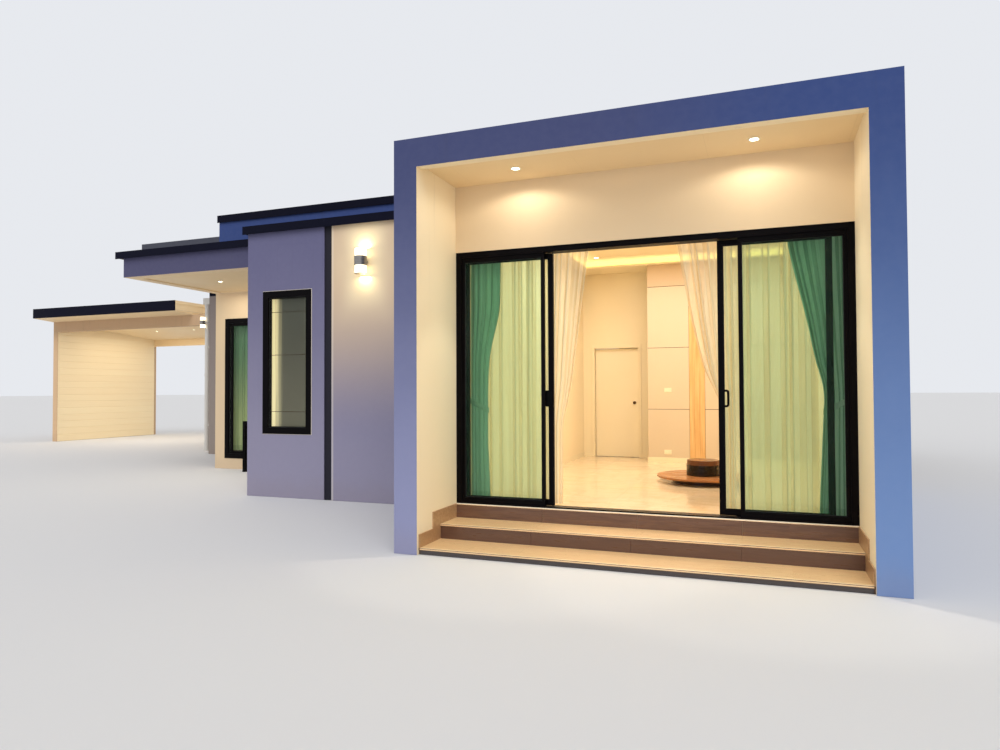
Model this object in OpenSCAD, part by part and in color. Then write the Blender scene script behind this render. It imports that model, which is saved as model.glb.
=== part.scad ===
// Modern single-storey bungalow with a framed front portal, a side wing,
// a porch canopy, a taller flat-roofed main body and a carport.
// The front faces -Y, +Z is up, and the ground is at z = 0.

/* [Portal] */
// Outside width of the portal
portal_w = 4370; // [3600:10:5200]
// Height of the portal and of the walls of the lower storey
portal_h = 4000; // [3800:10:4400]
// Thickness of the two portal walls, which are also the room's side walls
jamb_t = 245; // [150:5:320]
// Height of the front beam as seen from the street
beam_h = 280; // [200:10:360]
// Depth of the front beam, behind which the soffit steps up
beam_d = 110; // [60:10:200]
// Depth of the recess from the portal's front to the wall over the doors
recess_d = 915; // [780:5:1100]
// Drop from the portal's top to the underside of its soffit board
soffit_drop = 237; // [210:1:250]
// Thickness of ceiling and soffit boards
board_t = 20; // [12:1:30]
// Thickness of the roof slabs over the portal and the wing
slab_t = 120; // [80:5:120]

/* [Steps and floor] */
// Height of the lower step
lower_step_h = 60; // [40:5:120]
// Rise from the lower step to the upper step
upper_step_h = 147; // [100:1:160]
// Rise from the upper step to the floor
sill_step_h = 140; // [100:1:150]
// Set-back of the lower step from the portal's front
step_set = 35; // [10:5:80]
// Depth of the lower tread
lower_tread = 462; // [380:1:500]
// Distance from the door's front to the third riser
riser_set = 10; // [5:1:25]
// Overhang of a tread's nosing
nosing = 12; // [6:1:20]
// Thickness of the tread tiles, seen at the nosing
tread_t = 22; // [15:1:30]
// Thickness of the tile skirting on the reveals
skirting_t = 12; // [8:1:20]
// Height of the tile skirting above a tread
skirting_h = 130; // [90:5:150]

/* [Door unit] */
// Height of the door unit, frame included
door_h = 2705; // [2300:5:2750]
// Face width of the outer frame
frame_face = 60; // [40:1:90]
// Depth of the outer frame
frame_d = 130; // [120:1:160]
// Height of the flat sill rail
sill_h = 20; // [15:1:30]
// Width of a fixed leaf
fixed_leaf_w = 930; // [860:5:960]
// Width of a sliding leaf
sliding_leaf_w = 1000; // [960:5:1040]
// Thickness of a leaf
leaf_t = 36; // [30:1:40]
// Stile width of a fixed leaf
fixed_stile = 36; // [28:1:60]
// Stile width of a sliding leaf
sliding_stile = 54; // [40:1:70]
// Height of the bottom rail of a leaf
bottom_rail = 60; // [45:1:90]
// Height of the top rail of a leaf
top_rail = 50; // [40:1:70]
// Thickness of door and window glass
glass_t = 8; // [6:1:12]
// How far the left sliding leaf stands from its frame
left_leaf_gap = 8; // [6:1:60]
// How far the right sliding leaf stands from its frame
right_leaf_gap = 120; // [6:1:160]
// Running clearance round a sliding leaf
run_gap = 6; // [5:1:8]
// Height of a pull handle
handle_h = 165; // [140:5:200]
// Height of a handle's middle above the floor
handle_z = 1130; // [1000:10:1200]

/* [Living room] */
// Inside depth from the door wall to the rear partition
room_d = 5765; // [5400:5:6400]
// Thickness of inner partitions
partition_t = 120; // [100:5:150]
// Drop from the portal's top to the room's ceiling
ceiling_drop = 300; // [260:5:380]
// Rise of the ceiling's raised tray
tray_rise = 105; // [60:5:120]
// Width of the ceiling margin along the side walls
tray_side = 235; // [200:5:400]
// Width of the ceiling margin along the rear partition
tray_rear = 730; // [500:5:900]
// Width of the ceiling margin over the doors
tray_front = 800; // [600:5:1200]
// Distance from the left wall to the inner door
inner_door_x = 210; // [150:5:400]
// Width of the inner door
inner_door_w = 800; // [700:5:900]
// Height of the inner door
inner_door_h = 1985; // [1900:5:2100]
// Thickness of the inner door
inner_door_t = 40; // [35:1:45]
// Distance from the left wall to the panelled feature wall
feature_x = 1275; // [1150:5:1500]
// Distance from the feature wall's face to the rear partition
feature_set = 630; // [400:5:800]
// Thickness of the feature wall
feature_t = 150; // [100:5:200]
// Distance from the feature wall's left edge to its wooden strip
strip_x = 685; // [500:5:900]
// Width of the wooden strip
strip_w = 250; // [150:5:300]

/* [Curtains] */
// Thickness of a heavy drape with its folds
drape_t = 50; // [30:5:70]
// Thickness of a sheer curtain with its folds
sheer_t = 55; // [30:5:80]
// Distance from the wall over the doors to the drapes
curtain_gap = 15; // [5:5:60]
// Width of the left drape at its head
drape_head = 400; // [300:5:520]
// Width of the right drape at its head
drape_head_right = 520; // [400:5:620]
// Width of a drape where it is tied back
drape_waist = 215; // [150:5:280]
// Width of a drape at its foot
drape_foot = 245; // [180:5:320]
// Distance from the left sheer curtain's head to the middle of the doorway
sheer_open = 435; // [200:5:600]
// Distance from the right sheer curtain's head to the middle of the doorway
sheer_open_right = 260; // [200:5:600]
// Width of the left sheer curtain where it is tied back
sheer_waist = 1045; // [900:5:1100]
// Width of the right sheer curtain where it is tied back
sheer_waist_right = 1085; // [950:5:1150]

/* [Wing] */
// Distance from the portal's front to the wing's front
wing_set = 2577; // [2400:1:2800]
// Width of the wing left of the portal
wing_w = 3955; // [3700:5:4300]
// Drop from the portal's top to the top of the wing's walls
wing_drop = 40; // [20:5:80]
// Thickness of the outer walls
wall_t = 200; // [150:5:230]
// Distance from the wing's left corner to its window
wing_window_x = 285; // [200:5:400]
// Width of the tall wing window
wing_window_w = 865; // [700:5:950]
// Height of the wing window's sill above the ground
wing_window_z = 935; // [800:5:1000]
// Distance from the wing's left corner to the dark groove
groove_x = 1367; // [1320:1:1500]
// Width of the dark groove
groove_w = 126; // [100:1:160]
// Depth of the dark groove
groove_d = 30; // [20:1:50]
// Height of the metal caps on the wing and the canopy
cap_h = 105; // [80:5:120]
// Overhang of the wing's cap
cap_over = 60; // [30:5:90]

/* [Windows] */
// Height of every window head above the ground
head_z = 3062; // [2950:1:3100]
// Face width of a window frame
window_face = 110; // [80:5:125]
// Depth of a window frame
window_d = 90; // [70:5:120]
// Height of a rear or side window's sill above the ground
rear_sill_z = 1300; // [1100:10:1600]
// Width of a rear or side window
rear_window_w = 1500; // [1200:10:1700]

/* [Porch] */
// Distance from the portal's front to the porch wall
porch_set = 5440; // [5300:5:5700]
// Width of the porch, from the wing's corner to the porch wall's corner
porch_w = 3265; // [3000:5:3600]
// Width of the porch's tall window
porch_window_w = 1800; // [1500:5:2200]
// Distance from the porch wall's left corner to that window
porch_window_x = 250; // [200:5:350]
// Height of that window's sill above the ground
porch_window_z = 213; // [150:1:300]
// Distance from the portal's front to the canopy's front
canopy_set = 3210; // [3150:5:3500]
// Drop from the portal's top to the top of the canopy's fascia
canopy_drop = 60; // [5:5:155]
// Height of the canopy's fascia
canopy_h = 345; // [300:5:400]
// Width of the drop trim round the canopy's soffit
canopy_trim = 200; // [120:5:260]
// Overhang of the canopy's cap at its free end
canopy_cap_over = 135; // [80:5:180]
// Distance from the porch wall to the front of the porch rail
rail_back = 380; // [240:5:540]
// Height of the porch rail
rail_h = 990; // [900:5:1050]
// Distance from the wing's wall to the rail's post
rail_w = 2235; // [2000:5:2600]
// Side of the square rail tube
rail_t = 65; // [30:1:70]

/* [Main body] */
// Distance from the portal's front to the outside of the rear wall
house_d = 14000; // [12000:50:16000]
// Width of the rear wing left of the porch wall's corner
rear_wing_w = 2580; // [2300:5:3000]
// Distance from the portal's front to the rear wing's front
rear_wing_set = 8000; // [7600:5:8600]
// Height of the parapet's render over the lower storey
parapet_h = 1080; // [900:5:1300]
// Height of the parapet's cap
parapet_cap_h = 130; // [90:5:160]
// Step of the parapet from the porch wall's corner
parapet_step = 80; // [40:5:120]
// Height of the dark clad band between the lower walls and the main roof
band_h = 950; // [800:5:1000]
// Thickness of the dark clad band
band_t = 150; // [100:5:180]
// Thickness of the main roof
roof_t = 250; // [160:5:260]
// Overhang of the main roof round the rear wing
eave = 1090; // [800:5:1200]
// Overhang of the main roof along its other sides
side_eave = 300; // [200:5:450]

/* [Carport] */
// Width of the carport's roof
carport_w = 5770; // [5000:5:6500]
// Distance from the rear wing's left wall to the carport's roof edge
carport_gap = 2535; // [2300:5:2800]
// Distance from the portal's front to the carport's fascia
carport_set = 9350; // [9000:5:9600]
// Top of the carport's roof above the ground
carport_top = 4200; // [4100:5:4300]
// Height of the carport's front fascia
carport_fascia = 292; // [240:1:340]
// Underside of the carport's roof at its rear edge
carport_rear_z = 3505; // [3450:5:3600]
// Distance from the fascia to the carport's beam
beam_set = 690; // [500:5:800]
// Underside of the carport's beam
beam_z = 3530; // [3400:5:3560]
// Side of the carport's post and width of its beam
post_t = 190; // [150:5:240]
// Thickness of the boarded wall
boarded_t = 100; // [80:5:150]
// Outside distance from the fascia to the rear of the carport
carport_d = 4600; // [4400:5:5000]
// Height of the lintel at the carport's rear
lintel_h = 225; // [180:5:300]
// Distance from the fascia to the front of the link roof
link_set = 1300; // [1250:5:1600]

/* [Fittings] */
// Height of a cylindrical wall lamp
lamp_h = 365; // [280:5:400]
// Diameter of a cylindrical wall lamp
lamp_d = 180; // [120:5:200]
// Drop from the portal's top to a wall lamp's middle
lamp_drop = 612; // [500:1:800]
// Distance from the wing's left corner to its wall lamp
lamp_x = 2052; // [1900:1:2100]
// Diameter of a ceiling downlight
downlight_d = 110; // [80:5:140]
// Diameter of the rainwater pipe
pipe_d = 115; // [80:5:120]
// Distance from the wall to the rainwater pipe
pipe_gap = 150; // [100:5:180]
// Height of the small lamp at the rear wing's corner
rear_lamp_h = 290; // [240:5:320]

/* [Hidden] */
$fn = 48;

// Heights
upper_tread_z = lower_step_h + upper_step_h;
floor_z = upper_tread_z + sill_step_h;
door_top = floor_z + door_h;
roof_under = portal_h - slab_t;
soffit_z = portal_h - soffit_drop;
ceiling_z = portal_h - ceiling_drop;
wing_h = portal_h - wing_drop;
canopy_z = portal_h - canopy_drop - canopy_h;
lamp_z = portal_h - lamp_drop;
band_top = portal_h + band_h;
parapet_top = portal_h + parapet_h;

// Places across the front, from the portal's left outside face
room_left = jamb_t;
room_right = portal_w - jamb_t;
wing_left = -wing_w;
porch_left = wing_left - porch_w;
rear_left = porch_left - rear_wing_w;
carport_right = rear_left - carport_gap;
carport_left = carport_right - carport_w;

// Places from front to back, from the portal's front face
riser_y = recess_d - riser_set;
room_front = recess_d + wall_t;
room_rear = room_front - wall_t + room_d;
partition_rear = room_rear + partition_t;
porch_in = porch_set + wall_t;
rail_y = porch_set - rail_back;
rear_in = house_d - wall_t;
beam_y = carport_set + beam_set;
carport_rear = carport_set + carport_d;
boarded_rear = carport_rear - boarded_t;

// The part's origin: the middle of the footprint of all its pieces, on the ground
part_left = carport_left;
part_right = portal_w + side_eave;
part_rear = house_d + side_eave;
origin = [(part_left + part_right) / 2, part_rear / 2, 0];

// Gap between a moving or soft piece and what carries it
joint = 0.3;

// A block between two corners
module block(a, b) {
    translate(a) cube(b - a);
}

// A profile drawn in the Y-Z plane and carried along X from x0 to x1
module along_x(x0, x1) {
    translate([x0, 0, 0])
        rotate([90, 0, 90])
            linear_extrude(height = x1 - x0) children();
}

// A rectangular ring in the X-Z plane, from corner a to corner b, with its own rail widths
module ring(a, b, side, foot, head) {
    difference() {
        block(a, b);
        block([a.x + side, a.y - 1, a.z + foot], [b.x - side, b.y + 1, b.z - head]);
    }
}

// Moves everything from the working corner to the part's own origin
module placed() {
    translate(-origin) children();
}

// The portal

module portal_left_wall() {
    color("lightsteelblue") placed()
        block([0, 0, 0], [jamb_t, partition_rear, roof_under]);
}

module portal_right_wall() {
    color("lightsteelblue") placed()
        block([room_right, 0, 0], [portal_w, partition_rear, roof_under]);
}

// Roof slab with the front beam turned down between the two walls
module portal_roof() {
    color("lightsteelblue") placed() {
        block([0, 0, roof_under], [portal_w, partition_rear, portal_h]);
        block([room_left, 0, portal_h - beam_h], [room_right, beam_d, roof_under]);
    }
}

module portal_soffit() {
    color("wheat") placed()
        block([room_left, beam_d, soffit_z], [room_right, recess_d, soffit_z + board_t]);
}

module door_header_wall() {
    color("wheat") placed()
        block([room_left, recess_d, door_top], [room_right, room_front, roof_under]);
}

// The door unit

frame_y = recess_d + 10;
frame_left = room_left + frame_face;
frame_right = room_right - frame_face;
opening_z = floor_z + sill_h;
opening_top = door_top - frame_face;
fixed_y = frame_y + 15;
slide_y = fixed_y + leaf_t + 24;
slide_foot = opening_z + run_gap;
slide_top = opening_top - run_gap;
left_leaf_x = frame_left + left_leaf_gap;
right_leaf_x = frame_right - right_leaf_gap - sliding_leaf_w;
track_w = 8;
bead = 10;
bead_set = 5;

module door_frame() {
    color("black") placed() {
        ring([room_left, frame_y, floor_z], [room_right, frame_y + frame_d, door_top],
            frame_face, sill_h, frame_face);
    }
}

// Stiles and rails of one leaf with its left edge at x, with a glazing bead on both sides of the pane
module leaf(x, y, w, stile, z0, z1) {
    difference() {
        ring([x, y, z0], [x + w, y + leaf_t, z1], stile, bottom_rail, top_rail);
        pane(x, y, w, stile, z0, z1);
        for (dy = [-1, leaf_t - bead_set])
            ring_space(x, y + dy, w, stile - bead, z0 + bottom_rail - bead, z1 - top_rail + bead);
    }
}

// The rebate in front of or behind the glazing beads
module ring_space(x, y, w, side, z0, z1) {
    block([x + side, y, z0], [x + w - side, y + bead_set + 1, z1]);
}

// The pane that fills such a leaf, held under the beads
module pane(x, y, w, stile, z0, z1) {
    block([x + stile - bead, y + (leaf_t - glass_t) / 2, z0 + bottom_rail - bead],
        [x + w - stile + bead, y + (leaf_t + glass_t) / 2, z1 - top_rail + bead]);
}

module fixed_leaves() {
    color("black") placed() {
        leaf(frame_left, fixed_y, fixed_leaf_w, fixed_stile, opening_z, opening_top);
        leaf(frame_right - fixed_leaf_w, fixed_y, fixed_leaf_w, fixed_stile, opening_z, opening_top);
    }
}

module fixed_glass() {
    color("lightcyan") placed() {
        pane(frame_left, fixed_y, fixed_leaf_w, fixed_stile, opening_z, opening_top);
        pane(frame_right - fixed_leaf_w, fixed_y, fixed_leaf_w, fixed_stile, opening_z, opening_top);
    }
}

// A sliding leaf with two sliding shoes that stand on the sill rail
module sliding_leaf(x) {
    leaf(x, slide_y, sliding_leaf_w, sliding_stile, slide_foot, slide_top);
    for (dx = [0.15, 0.75])
        block([x + dx * sliding_leaf_w, slide_y + (leaf_t - track_w) / 2, opening_z + joint],
            [x + (dx + 0.1) * sliding_leaf_w, slide_y + (leaf_t + track_w) / 2, slide_foot]);
}

module sliding_leaf_left() {
    color("black") placed() sliding_leaf(left_leaf_x);
}

module sliding_glass_left() {
    color("lightcyan") placed()
        pane(left_leaf_x, slide_y, sliding_leaf_w, sliding_stile, slide_foot, slide_top);
}

module sliding_leaf_right() {
    color("black") placed() sliding_leaf(right_leaf_x);
}

module sliding_glass_right() {
    color("lightcyan") placed()
        pane(right_leaf_x, slide_y, sliding_leaf_w, sliding_stile, slide_foot, slide_top);
}

// A flat D handle: a plate on the stile and a grip that stands beside it, over the glass
handle_plate_w = 42;
handle_gap = 32;
grip_w = 18;
handle_t = 16;
grip_t = 12;
grip_end = 16;

module pull_handle(x, side) {
    mid = floor_z + handle_z;
    y1 = slide_y;
    y0 = y1 - handle_t;
    translate([x, 0, mid]) scale([side, 1, 1]) {
        block([-handle_plate_w / 2, y0, -handle_h / 2], [handle_plate_w / 2, y1, handle_h / 2]);
        for (z = [-1, 1])
            translate([0, 0, z * (handle_h - grip_end) / 2])
                block([handle_plate_w / 2, y0, -grip_end / 2],
                    [handle_plate_w / 2 + handle_gap + grip_w, y0 + grip_t, grip_end / 2]);
        block([handle_plate_w / 2 + handle_gap, y0, -handle_h / 2 + grip_end],
            [handle_plate_w / 2 + handle_gap + grip_w, y0 + grip_t, handle_h / 2 - grip_end]);
    }
}

module pull_handle_left() {
    color("black") placed()
        pull_handle(left_leaf_x + sliding_leaf_w - sliding_stile / 2, -1);
}

module pull_handle_right() {
    color("black") placed()
        pull_handle(right_leaf_x + sliding_stile / 2, 1);
}

// The steps

// Section of a step whose tread reaches from y0 to the rear, on a riser set back under its nosing
module step_section(y0, z0, z1) {
    polygon([[y0 + nosing, z0], [riser_y, z0], [riser_y, z1], [y0, z1], [y0, z1 - tread_t],
        [y0 + nosing, z1 - tread_t]]);
}

module lower_step() {
    color("burlywood") placed()
        along_x(room_left, room_right) step_section(step_set, 0, lower_step_h);
}

module upper_step() {
    color("burlywood") placed()
        along_x(room_left, room_right)
            step_section(step_set + lower_tread, lower_step_h, upper_tread_z);
}

// Stepped outline of the tile skirting along a reveal
skirting_rise_y = step_set + lower_tread * 0.65;

module skirting_outline() {
    top_1 = lower_step_h + skirting_h;
    top_2 = floor_z + 8;
    y1 = step_set + lower_tread;
    polygon([[step_set, lower_step_h], [y1 + nosing, lower_step_h], [y1 + nosing, upper_tread_z - tread_t],
        [y1, upper_tread_z - tread_t], [y1, upper_tread_z], [riser_y, upper_tread_z],
        [riser_y, top_2], [skirting_rise_y, top_2], [skirting_rise_y, top_1], [step_set, top_1]]);
}

module step_skirting() {
    color("tan") placed() {
        along_x(room_left, room_left + skirting_t) skirting_outline();
        along_x(room_right - skirting_t, room_right) skirting_outline();
    }
}

// Floor of the room, the wing and the body behind them, up to the inside of the walls
module floor_slab() {
    color("ivory") placed()
        linear_extrude(height = floor_z)
            polygon([[room_left, riser_y], [room_right, riser_y], [room_right, rear_in],
                [rear_left + wall_t, rear_in], [rear_left + wall_t, rear_wing_set + wall_t],
                [porch_left + wall_t, rear_wing_set + wall_t], [porch_left + wall_t, porch_in],
                [wing_left + wall_t, porch_in], [wing_left + wall_t, wing_set + wall_t],
                [0, wing_set + wall_t], [0, partition_rear], [room_left, partition_rear]]);
}

// The wing

module wing_window_hole() {
    block([wing_left + wing_window_x, wing_set - 1, wing_window_z],
        [wing_left + wing_window_x + wing_window_w, wing_set + wall_t + 1, head_z]);
}

module wing_front_wall() {
    color("thistle") placed()
        difference() {
            block([wing_left, wing_set, 0], [0, wing_set + wall_t, wing_h]);
            wing_window_hole();
            block([wing_left + groove_x, wing_set - 1, -1],
                [wing_left + groove_x + groove_w, wing_set + groove_d, wing_h + 1]);
        }
}

// Dark board at the back of the groove
module groove_strip() {
    color("dimgray") placed()
        block([wing_left + groove_x, wing_set + groove_d / 2, 0],
            [wing_left + groove_x + groove_w, wing_set + groove_d, wing_h]);
}

module wing_left_wall() {
    color("thistle") placed()
        block([wing_left, wing_set + wall_t, 0], [wing_left + wall_t, porch_set, wing_h]);
}

module wing_roof() {
    color("gray") placed()
        block([wing_left + wall_t, wing_set + wall_t, roof_under], [0, porch_in, portal_h]);
}

// Folded metal coping along the wing's front and left walls
module wing_cap() {
    color("midnightblue") placed()
        translate([0, 0, wing_h])
            linear_extrude(height = cap_h)
                polygon([[wing_left - cap_over, wing_set - cap_over], [0, wing_set - cap_over],
                    [0, wing_set + wall_t], [wing_left + wall_t, wing_set + wall_t],
                    [wing_left + wall_t, porch_set], [wing_left, porch_set],
                    [wing_left, canopy_set - cap_over], [wing_left - cap_over, canopy_set - cap_over]]);
}

// The windows: the parts of a frame, and where the rear and right walls have one

stop_w = 15;
pane_y = 30;
sash_stile = 42;
sash_t = 26;
sash_set = 48;
rear_span = rear_in - partition_rear;
side_windows = [for (share = [0.22, 0.72]) partition_rear + rear_span * share];
rear_windows = [for (share = [0.11, 0.34, 0.57, 0.8]) rear_left + (room_right - rear_left) * share];

// Children are drawn in the plane of the rear or right wall, at x = 0, y = 0
module at_rear() {
    for (x = rear_windows) translate([x, rear_in, 0]) children();
}

module at_right() {
    for (y = side_windows) translate([portal_w, y, 0]) rotate([0, 0, 90]) children();
}

// Outer frame with a narrower stop behind, which carries the pane
module window_frame(w, z0) {
    face = window_face - stop_w;
    ring([0, 0, z0], [w, window_d, head_z], face, face, face);
    ring([face, pane_y + glass_t, z0 + face], [w - face, window_d - stop_w, head_z - face],
        stop_w, stop_w, stop_w);
}

module window_pane(w, z0) {
    face = window_face - stop_w;
    block([face, pane_y, z0 + face], [w - face, pane_y + glass_t, head_z - face]);
}

// One sash of the tall porch window, from x0 to x1
module sash(x0, x1, z0, y) {
    ring([x0, y, z0 + window_face], [x1, y + sash_t, head_z - window_face],
        sash_stile, sash_stile, sash_stile);
}

// Every window in its place: the wing's, the porch's and those of the rear and right walls
module every_window() {
    translate([wing_left + wing_window_x, wing_set - 8, 0]) children(0);
    translate([porch_left + porch_window_x, porch_set - 8, 0]) children(1);
    translate([0, wall_t - window_d - 40, 0]) at_rear() children(2);
    at_right() translate([0, 40, 0]) children(2);
}

module window_frames() {
    color("black") placed()
        every_window() {
            window_frame(wing_window_w, wing_window_z);
            union() {
                window_frame(porch_window_w, porch_window_z);
                for (k = [0, 1])
                    sash(k == 0 ? window_face + sash_set : (porch_window_w - sash_stile) / 2,
                        k == 0 ? (porch_window_w + sash_stile) / 2 : porch_window_w - window_face - 1,
                        porch_window_z, pane_y - sash_t);
            }
            window_frame(rear_window_w, rear_sill_z);
        }
}

module window_glass() {
    color("lightcyan") placed()
        every_window() {
            window_pane(wing_window_w, wing_window_z);
            window_pane(porch_window_w, porch_window_z);
            window_pane(rear_window_w, rear_sill_z);
        }
}

// The porch

module porch_wall() {
    color("antiquewhite") placed()
        difference() {
            block([porch_left, porch_set, 0], [wing_left + wall_t, porch_in, portal_h]);
            block([porch_left + porch_window_x, porch_set - 1, porch_window_z],
                [porch_left + porch_window_x + porch_window_w, porch_in + 1, head_z]);
        }
}

soffit_lift = 15;
canopy_deck = 60;
cap_fall = 15;
cap_lip = 25;

// Canopy box: fascia beams all round with a deck on top, open below for the soffit
module porch_canopy() {
    color("slategray") placed()
        difference() {
            block([porch_left, canopy_set, canopy_z], [wing_left, porch_set, canopy_z + canopy_h]);
            block([porch_left + canopy_trim, canopy_set + canopy_trim, canopy_z - 1],
                [wing_left - canopy_trim, porch_set - canopy_trim / 2, canopy_z + canopy_h - canopy_deck]);
        }
}

module canopy_soffit() {
    color("wheat") placed()
        block([porch_left + canopy_trim, canopy_set + canopy_trim, canopy_z + soffit_lift],
            [wing_left - canopy_trim, porch_set - canopy_trim / 2, canopy_z + soffit_lift + board_t]);
}

// Section of a folded metal cap from y0 to the rear at y1: upright at the front, falling to the rear on top
module cap_section(y0, y1, z0, z1) {
    polygon([[y0, z0], [y1, z0], [y1, z1 - cap_fall], [y0 + cap_lip, z1], [y0, z1]]);
}

module canopy_cap() {
    top = canopy_z + canopy_h;
    color("midnightblue") placed()
        along_x(porch_left - canopy_cap_over, wing_left)
            cap_section(canopy_set - cap_over, porch_set, top, top + cap_h);
}

module porch_rail() {
    color("black") placed() {
        x0 = wing_left - rail_w;
        block([x0, rail_y, 0], [x0 + rail_t, rail_y + rail_t, rail_h]);
        block([x0 + rail_t, rail_y, rail_h - rail_t], [wing_left, rail_y + rail_t, rail_h]);
    }
}

// The main body

module main_left_wall() {
    color("thistle") placed()
        block([porch_left, porch_in, 0], [porch_left + wall_t, rear_wing_set + wall_t, portal_h]);
}

module rear_wing_front_wall() {
    color("slategray") placed()
        block([rear_left, rear_wing_set, 0], [porch_left, rear_wing_set + wall_t, portal_h]);
}

module rear_wing_left_wall() {
    color("thistle") placed()
        block([rear_left, rear_wing_set + wall_t, 0], [rear_left + wall_t, rear_in, portal_h]);
}

module rear_wall() {
    color("thistle") placed()
        difference() {
            block([rear_left, rear_in, 0], [portal_w, house_d, portal_h]);
            at_rear() block([0, -1, rear_sill_z], [rear_window_w, wall_t + 1, head_z]);
        }
}

module right_side_wall() {
    color("thistle") placed()
        difference() {
            block([room_right, partition_rear, 0], [portal_w, rear_in, portal_h]);
            at_right() block([0, -1, rear_sill_z], [rear_window_w, jamb_t + 1, head_z]);
        }
}

// Taller render parapet across the front of the main body
module parapet_wall() {
    color("steelblue") placed()
        block([porch_left + parapet_step, porch_set, portal_h],
            [portal_w, porch_in, parapet_top]);
}

module parapet_cap() {
    color("midnightblue") placed()
        along_x(porch_left + parapet_step - cap_over / 2, portal_w + cap_over / 2)
            cap_section(porch_set - cap_over / 2, porch_in, parapet_top, parapet_top + parapet_cap_h);
}

// Plan outline of the body behind the parapet, drawn in by t on its outer sides
module body_outline(t) {
    polygon([[porch_left + t, porch_in], [portal_w - t, porch_in], [portal_w - t, house_d - t],
        [rear_left + t, house_d - t], [rear_left + t, rear_wing_set + t],
        [porch_left + t, rear_wing_set + t]]);
}

// Clad band between the lower walls and the main roof
module roof_band() {
    color("midnightblue") placed()
        translate([0, 0, portal_h])
            linear_extrude(height = band_h)
                difference() {
                    body_outline(0);
                    body_outline(band_t);
                }
}

module main_roof() {
    color("midnightblue") placed()
        translate([0, 0, band_top])
            linear_extrude(height = roof_t)
                polygon([[porch_left, porch_in], [part_right, porch_in], [part_right, part_rear],
                    [rear_left - eave, part_rear], [rear_left - eave, rear_wing_set - eave],
                    [porch_left, rear_wing_set - eave]]);
}

// The living room

door_left = room_left + inner_door_x;
door_right = door_left + inner_door_w;
inner_head = floor_z + inner_door_h;
swing_gap = 7;
hinge_r = 7;
hinge_x = door_left + swing_gap / 2;
hinge_y = partition_rear + hinge_r + 1;
hinge_z = [for (k = [0.1, 0.5, 0.87]) floor_z + k * inner_door_h];
knuckle_h = 45;
strap_w = 28;
strap_t = 3;
knob_z = floor_z + 990;

// Hinge knuckle that stands from z0 to z0 + knuckle_h, with its strap towards side
module knuckle(z0, side) {
    translate([hinge_x, hinge_y, z0]) {
        cylinder(r = hinge_r, h = knuckle_h);
        mirror([side < 0 ? 1 : 0, 0, 0])
            block([0, -hinge_r - 1, 0], [strap_w, -hinge_r - 1 + strap_t, knuckle_h]);
    }
}

module partition_left() {
    color("wheat") placed()
        union() {
            block([room_left, room_rear, floor_z], [door_left, partition_rear, ceiling_z]);
            for (z = hinge_z) knuckle(z - joint - knuckle_h, -1);
        }
}

module partition_right() {
    color("wheat") placed()
        block([door_right, room_rear, floor_z], [room_right, partition_rear, ceiling_z]);
}

module partition_over_door() {
    color("wheat") placed()
        block([door_left, room_rear, inner_head], [door_right, partition_rear, ceiling_z]);
}

// Round knob on its rose, standing out of the door's face at y
module knob(y, side) {
    translate([door_right - 81, y, knob_z]) rotate([side * 90, 0, 0])
        rotate_extrude()
            polygon([[0, -1], [27, -1], [27, 4], [24, 7], [10, 8], [10, 28], [21, 34], [26, 42],
                [26, 50], [20, 57], [0, 59]]);
}

// Flush inner door that opens away from the room, with its hinge knuckles
module inner_door() {
    color("white") placed() {
        block([door_left + swing_gap, partition_rear - inner_door_t, floor_z + swing_gap],
            [door_right - swing_gap, partition_rear, inner_head - swing_gap]);
        for (z = hinge_z) knuckle(z, 1);
        knob(partition_rear - inner_door_t, 1);
        knob(partition_rear, -1);
    }
}

module feature_wall() {
    color("linen") placed()
        difference() {
            block([room_left + feature_x, room_rear - feature_set, floor_z],
                [room_right, room_rear - feature_set + feature_t, ceiling_z]);
            strip_space(1);
        }
}

// Shallow housing for the wooden strip, from the floor to the ceiling
module strip_space(clear) {
    x0 = room_left + feature_x + strip_x;
    block([x0, room_rear - feature_set - clear, floor_z - clear],
        [x0 + strip_w, room_rear - feature_set + 20, ceiling_z + clear]);
}

module wood_strip() {
    color("peru") placed() strip_space(0);
}

// Ceiling with a raised tray and its upstands
module room_ceiling() {
    x0 = room_left + tray_side;
    x1 = room_right - tray_side;
    y0 = room_front + tray_front;
    y1 = room_rear - tray_rear;
    color("wheat") placed()
        difference() {
            union() {
                block([room_left, room_front, ceiling_z],
                    [room_right, partition_rear, ceiling_z + board_t]);
                block([x0 - board_t, y0 - board_t, ceiling_z + board_t],
                    [x1 + board_t, y1 + board_t, ceiling_z + tray_rise + board_t]);
            }
            block([x0, y0, ceiling_z - 1], [x1, y1, ceiling_z + tray_rise]);
        }
}

table_x = 2355;
table_y = 2495;
table_foot_r = 395;
table_foot_h = 66;
table_r = 595;
table_h = 92;
table_ease = 8;
table_box_r = 214;
table_box_h = 140;
table_lid_h = 60;
table_lid_step = 6;

// A round low table on a drum foot, with a round box and its lid on it
module low_table() {
    box_z = table_h + table_box_h;
    lid_r = table_box_r - table_lid_step;
    color("saddlebrown") placed()
        translate([room_left + table_x, room_front + table_y, floor_z])
            rotate_extrude()
                polygon([[0, 0], [table_foot_r, 0], [table_foot_r, table_foot_h],
                    [table_r - table_ease, table_foot_h], [table_r, table_foot_h + table_ease],
                    [table_r, table_h], [table_box_r, table_h], [table_box_r, box_z], [lid_r, box_z],
                    [lid_r, box_z + table_lid_h], [0, box_z + table_lid_h]]);
}

// The curtains: outlines in the plane of the door, from the floor to the ceiling

curtain_top = ceiling_z - joint;
curtain_foot = floor_z + 12;
drape_y = room_front + curtain_gap;
sheer_y = drape_y + drape_t + 8;
waist_z = floor_z + 1000;
curtain_side = 5;
sheer_track = (frame_right - frame_left) / 2 - curtain_side;

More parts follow.
